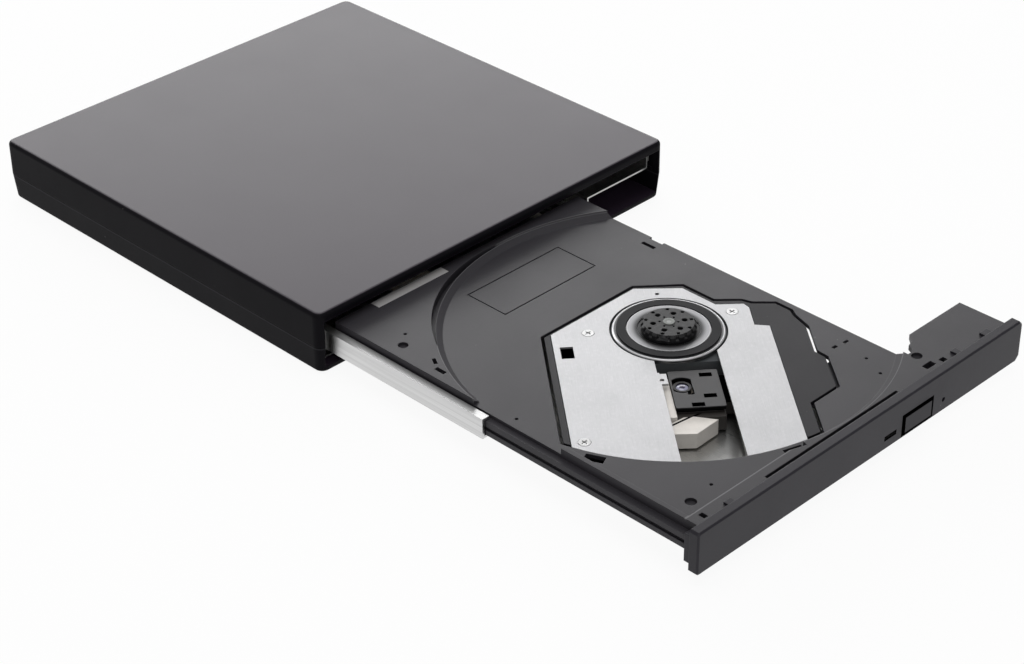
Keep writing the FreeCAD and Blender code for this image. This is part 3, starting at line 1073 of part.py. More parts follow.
def sled_motor():
    """Feed motor: a can with flats above and below, and a front bearing that holds the screw."""
    length = 12.4
    can = Part.makeCylinder(MOTOR_RADIUS, length, V(MOTOR_END - length, LEAD_SCREW_W, SHAFT_Z), V(1, 0, 0))
    flats = box(MOTOR_END - length - 1, MOTOR_END + 1, LEAD_SCREW_W - 4, LEAD_SCREW_W + 4, SHAFT_Z - 2.6,
                SHAFT_Z + 2.6)
    can = can.common(flats)
    bearing = Part.makeCylinder(1.6, 1.4, V(MOTOR_END - 0.1, LEAD_SCREW_W, SHAFT_Z), V(1, 0, 0))
    bore = Part.makeCylinder(SCREW_CORE_RADIUS + SHAFT_RUNNING_FIT, 2, V(MOTOR_END, LEAD_SCREW_W, SHAFT_Z),
                             V(1, 0, 0))
    return at_spindle(fused([can, bearing]).cut(bore))


def bottom_tub():
    """Steel cover under the mechanism, with turned-up edges and three posts for the rubber mounts."""
    left, right = TUB_LEFT_X, RIGHT_SKIRT_X - 2.2
    y0 = FRONT_WALL_Y
    s = SPINDLE_Y
    notch_x = FRONT_BOARD_X0 - FRONT_BOARD_GAP
    notch_y = FRONT_BOARD_Y1 + FRONT_BOARD_GAP
    rear_x0, rear_x1 = left + 26.4, right - 12.3
    outline = [(left, y0), (notch_x, y0), (notch_x, notch_y), (right - 10.3, notch_y), (right, s - 38.0),
               (right, s + 12.0), (rear_x1, s + 26.0), (rear_x0, s + 26.0), (left, s - 6.0)]
    plate = prism(outline, TUB_Z0, TUB_Z1)
    edges = [box(left, left + SHEET, y0, s - 6.0, TUB_Z0, DECK_Z0),
             box(left, notch_x, y0, y0 + SHEET, TUB_Z0, DECK_Z0),
             box(rear_x0, rear_x1, s + 26.0 - SHEET, s + 26.0, TUB_Z0, DECK_Z0)]
    posts = [disc(x, y, TUB_Z0, FRAME_PLATE_Z0 - 2.0, 1.8) for x, y in from_spindle(PLATE_SCREWS)]
    under_opening = raise_face(opening_face(), INNER_Z0, DECK_Z0 + 1)
    tub = fused([plate] + [edge.cut(under_opening) for edge in edges] + posts)
    holes = [disc(x, y, TUB_Z0 - 1, FRAME_PLATE_Z0, 0.95) for x, y in from_spindle(PLATE_SCREWS)]
    vents = [at_spindle(box(r, r + 3.0, 24.0, 30.0, TUB_Z0 - 1, TUB_Z1 + 1)) for r in (4.0, 10.0, 16.0)]
    return without(tub, holes + vents)


def rubber_mounts():
    """Three soft rings between the posts and the traverse frame."""
    return Part.makeCompound([ring(x, y, FRAME_PLATE_Z0 - 2.0, FRAME_PLATE_Z0, 1.2, 2.6)
                              for x, y in from_spindle(PLATE_SCREWS)])


def plate_screws():
    """Three cross-head screws through the bright plate."""
    screws = []
    for x, y in from_spindle(PLATE_SCREWS):
        head = disc(x, y, PLATE_Z0 - 0.2, PLATE_Z1 + 0.05, 1.6)
        shank = disc(x, y, TUB_Z1 + 0.6, PLATE_Z0, 0.9)
        cross = [box(x - 0.9, x + 0.9, y - 0.17, y + 0.17, PLATE_Z1 - 0.35, PLATE_Z1 + 1),
                 box(x - 0.17, x + 0.17, y - 0.9, y + 0.9, PLATE_Z1 - 0.35, PLATE_Z1 + 1)]
        screws.append(without(fused([head, shank]), cross))
    return Part.makeCompound(screws)


def spindle_stator():
    """Fixed half of the spindle motor: board, coil ring and bearing sleeve."""
    z0 = FRAME_Z0
    board = disc(0, SPINDLE_Y, z0, z0 + 0.8, BELL_RADIUS)
    legs = [at_spindle(box(-BELL_RADIUS - 3, -BELL_RADIUS + 3, -6, 6, z0, z0 + 0.8)),
            at_spindle(box(-BELL_RADIUS - 3, -BELL_RADIUS - 1.2, -6, 6, z0, FRAME_PLATE_Z0))]
    coils = ring(0, SPINDLE_Y, z0 + 0.7, FLANGE_Z0 - 0.9, 3.4, BELL_RADIUS - 2.4)
    sleeve = disc(0, SPINDLE_Y, z0, FLANGE_Z0 - 1.2, 2.6)
    hollow = disc(0, SPINDLE_Y, z0 + 1.0, FLANGE_Z0, 1.05)
    return fused([board] + legs + [coils, sleeve]).cut(hollow)


def turntable():
    """Turning half of the motor: bell, broad flange with a bright inner ring, and the shaft."""
    z0 = FRAME_Z0 + 1.1
    bell = ring(0, SPINDLE_Y, z0, FLANGE_Z0 + 0.1, BELL_RADIUS - 1.2, BELL_RADIUS)
    flange = disc(0, SPINDLE_Y, FLANGE_Z0, FLANGE_Z1, TURNTABLE_RADIUS)
    rim = [e for e in flange.Edges if e.BoundBox.ZMin > FLANGE_Z1 - 0.01]
    flange = flange.makeChamfer(0.3, rim)
    inner = ring(0, SPINDLE_Y, FLANGE_Z1 - 0.1, FLANGE_Z1 + 0.25, HUB_RADIUS + 1.0,
                 RUBBER_INNER_RADIUS - 0.2)
    shaft = disc(0, SPINDLE_Y, FRAME_Z0 + 1.1, FLANGE_Z0 + 0.1, 1.0)
    groove = ring(0, SPINDLE_Y, FLANGE_Z1 - 0.2, FLANGE_Z1 + 1, RUBBER_INNER_RADIUS, RUBBER_OUTER_RADIUS)
    return fused([bell, flange, inner, shaft]).cut(groove)


def rubber_ring():
    """Rubber ring that the disc rests on, let into the flange."""
    return ring(0, SPINDLE_Y, FLANGE_Z1 - 0.2, FLANGE_Z1 + RUBBER_THICKNESS, RUBBER_INNER_RADIUS,
                RUBBER_OUTER_RADIUS)


def claw_window(angle):
    """Space in the hub for one spring claw."""
    shape = box(3.6, HUB_RADIUS + 1, -CLAW_WIDTH / 2 - CLAW_CLEARANCE, CLAW_WIDTH / 2 + CLAW_CLEARANCE,
                FLANGE_Z1 + 0.35, FLANGE_Z1 + HUB_HEIGHT - 0.45)
    shape.rotate(V(0, 0, 0), V(0, 0, 1), angle)
    shape.translate(V(0, SPINDLE_Y, 0))
    return shape


def claw_angles():
    return [90.0 + 120.0 * i for i in range(3)]


def clamp_hub():
    """Black hub for the disc's centre hole, with claw windows, lightening holes and a boss."""
    z0, z1 = FLANGE_Z1, FLANGE_Z1 + HUB_HEIGHT
    hub = disc(0, SPINDLE_Y, z0, z1, HUB_RADIUS)
    top = [e for e in hub.Edges if e.BoundBox.ZMin > z1 - 0.01]
    hub = hub.makeChamfer(0.6, top)
    boss = disc(0, SPINDLE_Y, z1 - 0.1, z1 + 0.2, BOSS_RADIUS)
    hub = fused([hub, boss])
    cutters = [claw_window(a) for a in claw_angles()]
    for i in range(9):
        if i % 3 == 0:
            continue
        a = math.radians(90.0 + 40.0 * i)
        cutters.append(disc(5.0 * math.cos(a), SPINDLE_Y + 5.0 * math.sin(a), z0 + 0.5, z1 + 1, 0.75))
    for i in range(6):
        a = math.radians(60.0 + 60.0 * i)
        cutters.append(disc(2.7 * math.cos(a), SPINDLE_Y + 2.7 * math.sin(a), z0 + 0.8, z1 + 0.1, 0.5))
    return without(hub, cutters)


def claw(angle):
    """Spring claw: a small block with a nose that stands out of the hub."""
    z0 = FLANGE_Z1 + 0.35 + CLAW_CLEARANCE
    z1 = FLANGE_Z1 + HUB_HEIGHT - 0.45 - CLAW_CLEARANCE
    half = CLAW_WIDTH / 2
    nose = HUB_RADIUS + 0.35
    points = [V(5.0, -half, z0), V(nose - 0.6, -half, z0), V(nose, -half, (z0 + z1) / 2),
              V(nose - 0.5, -half, z1), V(5.0, -half, z1)]
    shape = Part.Face(Part.makePolygon(points + points[:1])).extrude(V(0, CLAW_WIDTH, 0))
    shape.rotate(V(0, 0, 0), V(0, 0, 1), angle)
    shape.translate(V(0, SPINDLE_Y, 0))
    return shape


def pickup_base():
    """Die-cast body: optics block, bush on the main shaft, fork on the second, arm to the screw."""
    c = LENS_RADIUS_AT_REST
    z0, z1 = PICKUP_BODY_Z0, PICKUP_BODY_Z1
    middle = box(c - 6.0, c + 11.9, -4.9, 9.6, z0, z1)
    side = box(c - 4.0, c + 13.0, -4.9, -3.1, z0, z1 + 1.2)
    front = prism([(c + 14.2, -4.9), (c + 11.9, -1.4), (c + 11.7, 1.3), (c + 13.6, 7.2), (c + 19.2, 1.0),
                   (c + 18.9, -4.9)], z0, z1 + 0.3)
    front_foot = prism([(c + 11.0, -4.9), (c + 11.0, 7.2), (c + 13.6, 7.2), (c + 19.2, 1.0),
                        (c + 18.9, -4.9)], z0, z1 - 1.0)
    under_cover = box(c - PICKUP_BACK + 0.8, c + PICKUP_FRONT - 0.8, -PICKUP_LEFT + 0.3, PICKUP_RIGHT - 0.6,
                      z1 - 0.1, PICKUP_COVER_Z0)
    lens_well = disc(c, 0, z1 - 3.0, PICKUP_Z1 + 1, 3.2)
    bush = box(c - 6, c + 6, 9.4, MAIN_SHAFT_W + 2.0, SHAFT_Z - 1.9, SHAFT_Z + 1.9)
    main_bore = Part.makeCylinder(MAIN_SHAFT_RADIUS + SHAFT_RUNNING_FIT, 14, V(c - 7, MAIN_SHAFT_W, SHAFT_Z),
                                  V(1, 0, 0))
    fork = box(c - 2.2, c + 2.2, SECOND_SHAFT_W - 1.4, -4.7, SHAFT_Z - 1.6, SHAFT_Z + 1.6)
    fork_slot = box(c - 3, c + 3, SECOND_SHAFT_W - 2, SECOND_SHAFT_W + SECOND_SHAFT_RADIUS + 0.6,
                    SHAFT_Z - SECOND_SHAFT_RADIUS - 0.1, SHAFT_Z + SECOND_SHAFT_RADIUS + 0.1)
    arm_z = SHAFT_Z + LEAD_SCREW_RADIUS + 0.3
    arm = box(c - 3.0, c + 3.0, MAIN_SHAFT_W + 1.9, LEAD_SCREW_W + 2.0, arm_z, arm_z + 1.0)
    arm_root = box(c - 3.0, c + 3.0, MAIN_SHAFT_W + 1.4, MAIN_SHAFT_W + 2.4, SHAFT_Z, arm_z + 1.0)
    body = fused([middle, side, front, front_foot, under_cover, bush, fork, arm, arm_root])
    return at_spindle(without(body, [lens_well, main_bore, fork_slot]))


def pickup_cover():
    """Black cap over the lens mechanism, with a lens window, flat on two sides, and three slots."""
    c = LENS_RADIUS_AT_REST
    cap = box(c - PICKUP_BACK, c + PICKUP_FRONT, -PICKUP_LEFT, PICKUP_RIGHT, PICKUP_COVER_Z0, PICKUP_Z1)
    cap = cap.makeFillet(0.5, upright_edges(cap))
    low, high = PICKUP_COVER_Z0 - 1, PICKUP_Z1 + 1
    window = disc(c, 0, low, high, 3.5).common(box(c - 4, c + 4, -PICKUP_LEFT + 0.5, 2.5, low, high))
    corner = box(c + 1.5, c + 4.4, 0.9, 2.6, low, high)
    slots = [box(c - 4.7, c - 3.5, 5.1, 8.1, PICKUP_Z1 - 0.7, high),
             box(c + 4.6, c + 5.8, 4.9, 7.9, PICKUP_Z1 - 0.7, high),
             box(c + 8.4, c + 9.4, 1.4, 4.2, PICKUP_Z1 - 0.7, high)]
    window = window.fuse(corner)
    return at_spindle(without(cap, [window] + slots))


def lens_holder():
    """Ring that carries the lens and floats on its suspension."""
    c = LENS_RADIUS_AT_REST
    z1 = PICKUP_Z1 - FOCUS_TRAVEL - 0.1
    holder = fused([ring(c, 0, z1 - 1.6, z1, LENS_OPTIC_RADIUS, 2.4),
                    ring(c, 0, z1 - 1.6, z1 - 1.2, 1.2, 2.4)])
    return at_spindle(holder)


def objective_lens():
    """Domed lens in its holder."""
    c = LENS_RADIUS_AT_REST
    z1 = PICKUP_Z1 - FOCUS_TRAVEL - 0.1
    ball = Part.makeSphere(3.2, V(c, 0, z1 - 3.1))
    lens = disc(c, 0, z1 - 1.2, z1 + 0.3, LENS_OPTIC_RADIUS - 0.02).common(ball)
    return at_spindle(lens)


def tray_label():
    """Blank label on the tray's rear left corner."""
    x0 = TRAY_LEFT_X + LABEL_INSET
    y1 = TRAY_REAR_Y - 0.3
    return box(x0, x0 + LABEL_LENGTH, y1 - LABEL_WIDTH, y1, RIM_Z, RIM_Z + 0.12)


def ribbon_tray_run():
    """The moving half of the ribbon, under the tray's deck."""
    return box(-28, -14, SPINDLE_Y + 27.0, SPINDLE_Y + 29.4, DECK_Z0 - 0.2, DECK_Z0)


def main():
    save("enclosure_top_cover", top_cover())
    save("enclosure_bottom_cover", bottom_cover())
    save("rubber_feet", rubber_feet())
    save("case_screws", case_screws())
    save("chassis_bottom_pan", bottom_pan())
    save("chassis_lid", chassis_lid())
    save("left_rail_guide", left_rail_guide())
    save("right_rail_guide", right_rail_guide())
    save("lock_post", lock_post())
    save("main_board", main_board())
    save("main_board_chips", main_chips())
    save("drive_socket", drive_socket())
    save("drive_plug", drive_plug())
    save("bridge_board", bridge_board())
    save("bridge_board_chips", bridge_chips())
    save("usb_socket", usb_socket())
    save("usb_contact_block", usb_tongue())
    save("power_jack", power_jack())
    save("ribbon_floor_run", ribbon_floor_run())
    save("left_rail", left_rail())
    save("right_rail", right_rail())
    save("disc_tray", without(disc_tray(), front_passages()))
    save("tray_bezel", bezel())
    save("eject_button", eject_button())
    save("eject_switch", eject_switch())
    save("status_light", status_light())
    save("front_board", front_board())
    save("lock_solenoid", lock_solenoid())
    save("lock_hook", lock_hook())
    save("lock_pivot_pin", lock_pivot_pin())
    save("mechanism_cover_plate", cover_plate())
    save("inner_cover", inner_cover())
    save("traverse_frame", traverse_frame())
    save("main_guide_shaft", guide_shaft(0))
    save("second_guide_shaft", guide_shaft(1))
    save("lead_screw", lead_screw())
    save("sled_motor", sled_motor())
    save("bottom_tub", bottom_tub())
    save("rubber_mounts", rubber_mounts())
    save("plate_screws", plate_screws())
    save("spindle_stator", spindle_stator())
    save("turntable", turntable())
    save("turntable_rubber", rubber_ring())
    save("clamp_hub", clamp_hub())
    for number, angle in enumerate(claw_angles(), 1):
        save("clamp_claw_" + str(number), claw(angle))
    save("pickup_base", pickup_base())
    save("pickup_cover", pickup_cover())
    save("lens_holder", lens_holder())
    save("objective_lens", objective_lens())
    save("tray_label", tray_label())
    save("ribbon_tray_run", ribbon_tray_run())


main()
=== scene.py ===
"""Looks of the slim external disc drive: finishes, fine detail, light and camera.

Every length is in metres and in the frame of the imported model: X right, Y back, Z up, origin on the
table under the middle of the whole drive with its tray out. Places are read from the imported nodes.
"""

import json
import math

import bpy
import numpy as np
from mathutils import Matrix, Vector

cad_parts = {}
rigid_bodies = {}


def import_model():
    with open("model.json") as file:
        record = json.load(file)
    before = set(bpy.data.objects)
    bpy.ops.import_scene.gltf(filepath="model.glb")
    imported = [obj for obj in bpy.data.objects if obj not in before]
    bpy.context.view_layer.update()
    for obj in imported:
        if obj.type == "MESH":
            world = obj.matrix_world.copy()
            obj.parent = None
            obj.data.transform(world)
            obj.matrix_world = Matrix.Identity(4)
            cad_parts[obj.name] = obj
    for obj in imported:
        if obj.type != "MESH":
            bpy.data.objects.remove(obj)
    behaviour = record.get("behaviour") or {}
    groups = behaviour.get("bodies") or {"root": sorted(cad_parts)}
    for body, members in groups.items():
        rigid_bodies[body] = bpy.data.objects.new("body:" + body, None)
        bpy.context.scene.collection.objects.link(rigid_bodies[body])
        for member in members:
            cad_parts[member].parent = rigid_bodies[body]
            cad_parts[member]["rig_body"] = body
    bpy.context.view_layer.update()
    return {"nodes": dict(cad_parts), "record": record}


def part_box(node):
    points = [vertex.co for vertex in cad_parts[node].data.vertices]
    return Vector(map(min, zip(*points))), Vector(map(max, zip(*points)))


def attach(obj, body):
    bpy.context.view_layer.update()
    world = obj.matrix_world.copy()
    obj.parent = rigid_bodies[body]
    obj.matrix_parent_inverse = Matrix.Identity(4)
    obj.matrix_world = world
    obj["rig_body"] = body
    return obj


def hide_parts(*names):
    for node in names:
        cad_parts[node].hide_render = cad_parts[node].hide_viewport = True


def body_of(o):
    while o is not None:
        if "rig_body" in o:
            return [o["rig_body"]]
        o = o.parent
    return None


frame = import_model()

MM = 0.001
TAU = 2 * math.pi

# The traverse that carries the pickup is turned this far about the spindle
TRAVERSE_ANGLE = math.radians(-130.0)
# Direction of draw marks and rub marks that run from front to back
ALONG_Y = math.radians(90.0)

# Camera, from a fit to the enclosure's and the bezel's corners
CAMERA_PLACE = Vector((-0.4126, -0.42345, 0.3628))
CAMERA_AZIMUTH = math.radians(-44.85)
CAMERA_ELEVATION = math.radians(32.839)
CAMERA_ROLL = math.radians(-0.523)
CAMERA_LENS = 86.89
SENSOR_WIDTH = 36.0

# Strength of the surroundings for plain light and as mirrors see them; cameras see 1, which is white
AMBIENT = 0.32
MIRRORED_BACKGROUND = 0.5
# Share of the floor's own glow in what cameras and mirrors see of it
FLOOR_GLOW = 0.93
FLOOR_HALF_WIDTH = 4.0

SPINDLE = (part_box("clamp_hub")[0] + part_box("clamp_hub")[1]) / 2
RIM_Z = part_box("disc_tray")[1].z
RECESS_DEPTH = 1.7 * MM
RECESS_Z = RIM_Z - RECESS_DEPTH
TRAY_FRONT_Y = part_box("disc_tray")[0].y
SEAM_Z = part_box("enclosure_top_cover")[0].z
# From the spindle to the lens along the traverse
LENS_REACH = 24.4 * MM

# Circles about the spindle: the middle of the recess's slope and its width, and the rim above it, with its painted
# highlight
SLOPE_RADIUS, SLOPE_WIDTH = 60.1 * MM, 1.9 * MM
RIM_HIGHLIGHT_RADIUS = 61.0 * MM

# Half sizes of the button's flat face, of the line of painted shade round it, and of the light's window, painted as
# shade
FACE_HALF = (5.30 * MM, 2.20 * MM)
GAP_SHADE_HALF = (6.40 * MM, 3.20 * MM)
WINDOW_HALF = (2.35 * MM, 0.66 * MM)
# The light's middle, above the lower edge of the button's flange
WINDOW_RISE = 2.8 * MM

# Circles on the turntable: the painted shadow round the hub, a painted highlight round the hub's ring,
# a groove's painted shade, and a painted highlight on the rim
TABLE_SHADOW, TABLE_HIGHLIGHT_LINE, TABLE_GROOVE_SHADE, TABLE_RIM_HIGHLIGHT = 8.4 * MM, 11.00 * MM, 14.05 * MM, 14.72 * MM
# Circles on the lens: its purple middle, and the outer edge of its collar
LENS_MIDDLE, LENS_COLLAR = 0.70 * MM, 1.50 * MM

# On the pickup, along the traverse from the lens and across it: the middles of the cover's slots, and the
# size they share; the optics block's middle and length, and where its dark part starts across
SLOT_MIDDLES = ((-4.2 * MM, 6.55 * MM), (5.25 * MM, 6.4 * MM), (8.95 * MM, 2.8 * MM))
SLOT_LENGTH, SLOT_WIDTH = 1.65 * MM, 3.2 * MM
BLOCK_MIDDLE, BLOCK_LENGTH, BLOCK_START = 10.55 * MM, 2.8 * MM, -2.9 * MM
# Where the casting's bush starts across the traverse, and how far along it the cover hides the casting
BUSH_START, COVER_REACH = 9.2 * MM, 10.2 * MM
# A point on the casting's slanting gap and the direction square to it, both along and across
GAP_POINT, GAP_NORMAL = (15.2 * MM, -5.0 * MM), (0.843, 0.537)
# Depths below the recess: the cover's side walls, and the casting's top under the cover
COVER_WALL_DEPTH, CASTING_DEPTH = 1.55 * MM, 3.06 * MM

# The hub's outline, and the boss where the shaft comes through, with its hollow
HUB_RADIUS, HUB_CHAMFER, HUB_WALL_INSET = 7.35 * MM, 0.6 * MM, 0.3 * MM
BOSS_RADIUS, BOSS_HEIGHT = 1.5 * MM, 0.2 * MM
HOLLOW_RADIUS, HOLLOW_DEPTH = 0.60 * MM, 0.12 * MM
# Pits in the hub's top: how many, their circle's radius, their own radius, depth and first angle
HUB_PITS = ((6, 4.25 * MM, 0.78 * MM, 0.95 * MM, 0.45), (9, 6.05 * MM, 0.52 * MM, 0.70 * MM, 0.10),
            (6, 2.45 * MM, 0.34 * MM, 0.50 * MM, 0.20))
HUB_NOTCHES = 18
# Share of its radius by which the wall draws in at a notch
NOTCH_SHARE = 0.075
HUB_TOP_RINGS, HUB_CHAMFER_RINGS, HUB_WALL_RINGS, HUB_SEGMENTS = 96, 10, 14, 360

CONTACT_STEPS = 28

BLACK = (0.001, 0.001, 0.001)


class Wire:
    """A number socket that can stand in an expression: each operator adds the Math node it needs."""

    def __init__(self, nodes, socket):
        self.nodes = nodes
        self.socket = socket

    def maths(self, operation, first, second=None):
        values = {0: first} if second is None else {0: first, 1: second}
        return self.nodes.node("Math", {"operation": operation}, values)

    def __add__(self, other):
        return self.maths("ADD", self, other)

    __radd__ = __add__

    def __sub__(self, other):
        return self.maths("SUBTRACT", self, other)

    def __rsub__(self, other):
        return self.maths("SUBTRACT", other, self)

    def __mul__(self, other):
        return self.maths("MULTIPLY", self, other)

    __rmul__ = __mul__

    def __truediv__(self, other):
        return self.maths("DIVIDE", self, other)

    def __pow__(self, other):
        return self.maths("POWER", self, other)

    def __abs__(self):
        return self.maths("ABSOLUTE", self)

    def larger(self, other):
        return self.maths("MAXIMUM", self, other)

    def fraction(self):
        return self.maths("FRACT", self)

    def fade(self, start, end):
        """0 at start, 1 at end, smooth between them; start may be the larger."""
        low, high = min(start, end), max(start, end)
        step = self.nodes.node("MapRange", {"interpolation_type": "SMOOTHSTEP"},
                               {"Value": self, "From Min": low, "From Max": high})
        return step if start < end else 1 - step

    def band(self, centre, width, soft):
        """1 within half the width of the centre, fading to 0 over soft outside it."""
        half = width / 2
        return self.fade(centre - half - soft, centre - half) * self.fade(centre + half + soft, centre + half)


def distance(x, y):
    """Length of the straight line with these two parts."""
    return (x * x + y * y) ** 0.5


class Nodes:
    """The nodes of one material or world, which all come from one method."""

    def __init__(self, tree):
        self.tree = tree

    def feed(self, value, socket):
        """Link a wire to an input socket, or put a value on it."""
        if isinstance(value, Wire):
            self.tree.links.new(value.socket, socket)
        else:
            socket.default_value = value

    def node(self, kind, settings=None, values=None, output=0):
        """Add a node, set its settings, then its sockets from values or links; give one of its outputs."""
        made = self.tree.nodes.new("ShaderNode" + kind)
        for key, value in (settings or {}).items():
            setattr(made, key, value)
        for key, value in (values or {}).items():
            self.feed(value, made.inputs[key])
        return Wire(self, made.outputs[output])

    def ray(self, kind):
        """1 for rays of this kind."""
        return self.node("LightPath", output=f"Is {kind} Ray")


class Finish(Nodes):
    """One material: its Principled shader, and the nodes that vary its colour, roughness and relief."""

    def __init__(self, name, colour, roughness, metallic=0.0, **fixed):
        self.material = bpy.data.materials.new(name)
        self.material.use_nodes = True
        super().__init__(self.material.node_tree)
        self.shader = self.tree.nodes["Principled BSDF"]
        self.surface = Wire(self, self.shader.outputs[0])
        self.colour = (*colour, 1.0)
        self.roughness = roughness
        self.metallic = metallic
        # Share of painted shade, dead black, laid over the whole surface
        self.gap = 0.0
        self.normal = None
        self.coat = None
        for key, value in fixed.items():
            self.shader.inputs[key.replace("_", " ")].default_value = value

    def place(self, centre=(0, 0, 0), turn=0.0, scale=(1, 1, 1)):
        """Object coordinates measured from a centre, turned back about Z, then scaled."""
        where = self.node("TexCoord", output="Object")
        moved = self.node("VectorMath", {"operation": "SUBTRACT"}, {0: where, 1: tuple(centre)})
        return self.node("Mapping", {"vector_type": "TEXTURE"},
                         {"Vector": moved, "Rotation": (0, 0, turn), "Scale": tuple(1 / part for part in scale)})

    def axes(self, centre=(0, 0, 0), turn=0.0):
        """The three Object coordinates as wires, measured from a centre along turned axes."""
        split = self.node("SeparateXYZ", None, {0: self.place(centre, turn)})
        return [Wire(self, socket) for socket in split.socket.node.outputs]

    def noise(self, size, detail=3.0, where=None, roughness=0.5):
        """Soft noise from 0 to 1 whose lumps are about this size."""
        where = where or self.place()
        return self.node("TexNoise", None, {"Vector": where, "Scale": 1.0 / size, "Detail": detail,
                                            "Roughness": roughness})

    def streaks(self, width, length, turn=0.0, detail=4.0):
        """Noise drawn out along one direction, as brushing and drawing marks are."""
        where = self.place((0, 0, 0), turn, (width / length, 1.0, 1.0))
        return self.noise(width, detail, where, 0.65)

    def cells(self, spacing, output=0):
        """Pattern of cells about this far apart."""
        return self.node("TexVoronoi", {"feature": "F1"}, {"Vector": self.place(), "Scale": 1.0 / spacing}, output)

    def specks(self, spacing, share):
        """Small round specks: the parts of a cell pattern that lie near each cell's centre."""
        return self.cells(spacing).fade(share, share * 0.6)

    def spots(self, x, y, count, ring, size, first):
        """1 inside round spots of this radius, evenly spaced on a circle about the axis.

        The angle is turned into a count of spots, whose fraction, less a half, is the way from the
        nearest spot along the circle.
        """
        out = distance(x, y)
        turn = y.maths("ARCTAN2", y, x) * (count / TAU) + (count + 0.5 - first * count / TAU)
        along = (turn.fraction() - 0.5) * out * (TAU / count)
        return distance(along, out - ring).fade(size, size * 0.8)

    def blend(self, mode, amount, colour):
        """Blend the base colour with another one where amount is 1."""
        self.colour = self.node("Mix", {"data_type": "RGBA", "blend_type": mode},
                                {0: amount, 6: self.colour, 7: (*colour, 1.0)}, 2)

    def tint(self, amount, colour):
        """Move the base colour towards another one where amount is 1."""
        self.blend("MIX", amount, colour)

    def shade(self, amount, factor):
        """Multiply the base colour by factor where amount is 1."""
        self.blend("MULTIPLY", amount, (factor, factor, factor))

    def paint_shade_black(self, amount):
        """Painted shade: dead black where amount is 1, which gives nothing back at any angle, as the shade in a
        deep gap does.
        """
        self.tint(amount, BLACK)
        self.gap = 1 - (1 - amount) * (1 - self.gap)

    def rough(self, change):
        """Add a wire to the roughness."""
        self.roughness = change + self.roughness

    def relief(self, height, depth):
        """Bump of this depth in metres where height runs from 0 to 1."""
        values = {"Height": height, "Distance": depth, "Strength": 1.0}
        if self.normal is not None:
            values["Normal"] = self.normal
        self.normal = self.node("Bump", None, values)

    def rounded(self, radius):
        """Round every edge in the shading, and give a mask that is 1 on worn outer edges."""
        soft = self.node("Bevel", {"samples": 4}, {"Radius": radius})
        self.normal = soft
        plain = self.node("NewGeometry", output="True Normal")
        level = self.node("VectorMath", {"operation": "DOT_PRODUCT"}, {0: soft, 1: plain}, "Value")
        return level.fade(0.995, 0.90)

    def up_facing(self):
        """1 on faces that look up, 0 on upright ones."""
        plain = self.node("NewGeometry", output="Normal")
        return self.node("SeparateXYZ", None, {0: plain}, 2).fade(0.86, 0.97)

    def polish(self, weight, roughness):
        """A satin skin on the faces that look up, where they were polished or worn smooth."""
        self.coat = self.up_facing() * weight
        self.shader.inputs["Coat Roughness"].default_value = roughness

    def cover(self, amount, shader):
        """Lay another shader over the surface where amount is 1."""
        self.surface = self.node("MixShader", None, {0: amount, 1: self.surface, 2: shader})

    def done(self):
        """Feed the shader with what was gathered, and give the material."""
        for key, value in (("Base Color", self.colour), ("Roughness", self.roughness), ("Normal", self.normal),
                           ("Metallic", self.metallic), ("Coat Weight", self.coat)):
            if value is not None:
                self.feed(value, self.shader.inputs[key])
        if isinstance(self.gap, Wire):
            self.cover(self.gap, self.node("BsdfDiffuse", None, {"Color": (*BLACK, 1.0)}))
        self.feed(self.surface, self.tree.nodes["Material Output"].inputs["Surface"])
        return self.material


def moulded(name, colour, roughness, grain=0.35 * MM, depth=0.012 * MM, edge=0.25 * MM, shine=0.3):
    """Moulded plastic: grain, faint flow marks, handling marks in the gloss, paler worn edges, dust specks."""
    finish = Finish(name, colour, roughness, Specular_IOR_Level=shine)
    worn = finish.rounded(edge)
    flow = finish.noise(22 * MM, 4.0)
    finish.shade(flow.fade(0.35, 0.75), 0.86)
    paler = [min(1.0, part * 2.6 + 0.02) for part in colour]
    finish.tint(worn * finish.noise(3 * MM, 5.0).fade(0.35, 0.7) * 0.35, paler)
    finish.tint(finish.specks(6.5 * MM, 0.035) * 0.25, (0.35, 0.34, 0.33))
    finish.rough((finish.noise(14 * MM, 5.0) - 0.5) * 0.14 + (finish.noise(1.2 * MM, 3.0) - 0.5) * 0.06)
    finish.relief(finish.noise(grain, 2.0), depth)
    return finish


def sheet_steel(name, colour, roughness, turn=0.0, width=0.16 * MM, length=9 * MM, depth=0.002 * MM):
    """Rolled or brushed sheet: fine streaks in colour, gloss and relief, with a few deeper scratches."""
    finish = Finish(name, colour, roughness, 1.0)
    worn = finish.rounded(0.12 * MM)
    lines = finish.streaks(width, length, turn)
    finish.shade(lines.fade(0.35, 0.75) * 0.55, 0.80)
    finish.shade(finish.noise(18 * MM, 4.0).fade(0.4, 0.75) * 0.5, 0.88)
    scratch = finish.streaks(0.5 * MM, 14 * MM, turn + 0.5).fade(0.70, 0.78)
    finish.tint(scratch * 0.18, (0.9, 0.9, 0.9))
    finish.tint(worn * 0.3, (0.92, 0.92, 0.9))
    finish.rough((lines - 0.5) * 0.16 + (finish.noise(9 * MM, 4.0) - 0.5) * 0.08)
    finish.relief(lines, depth)
    return finish


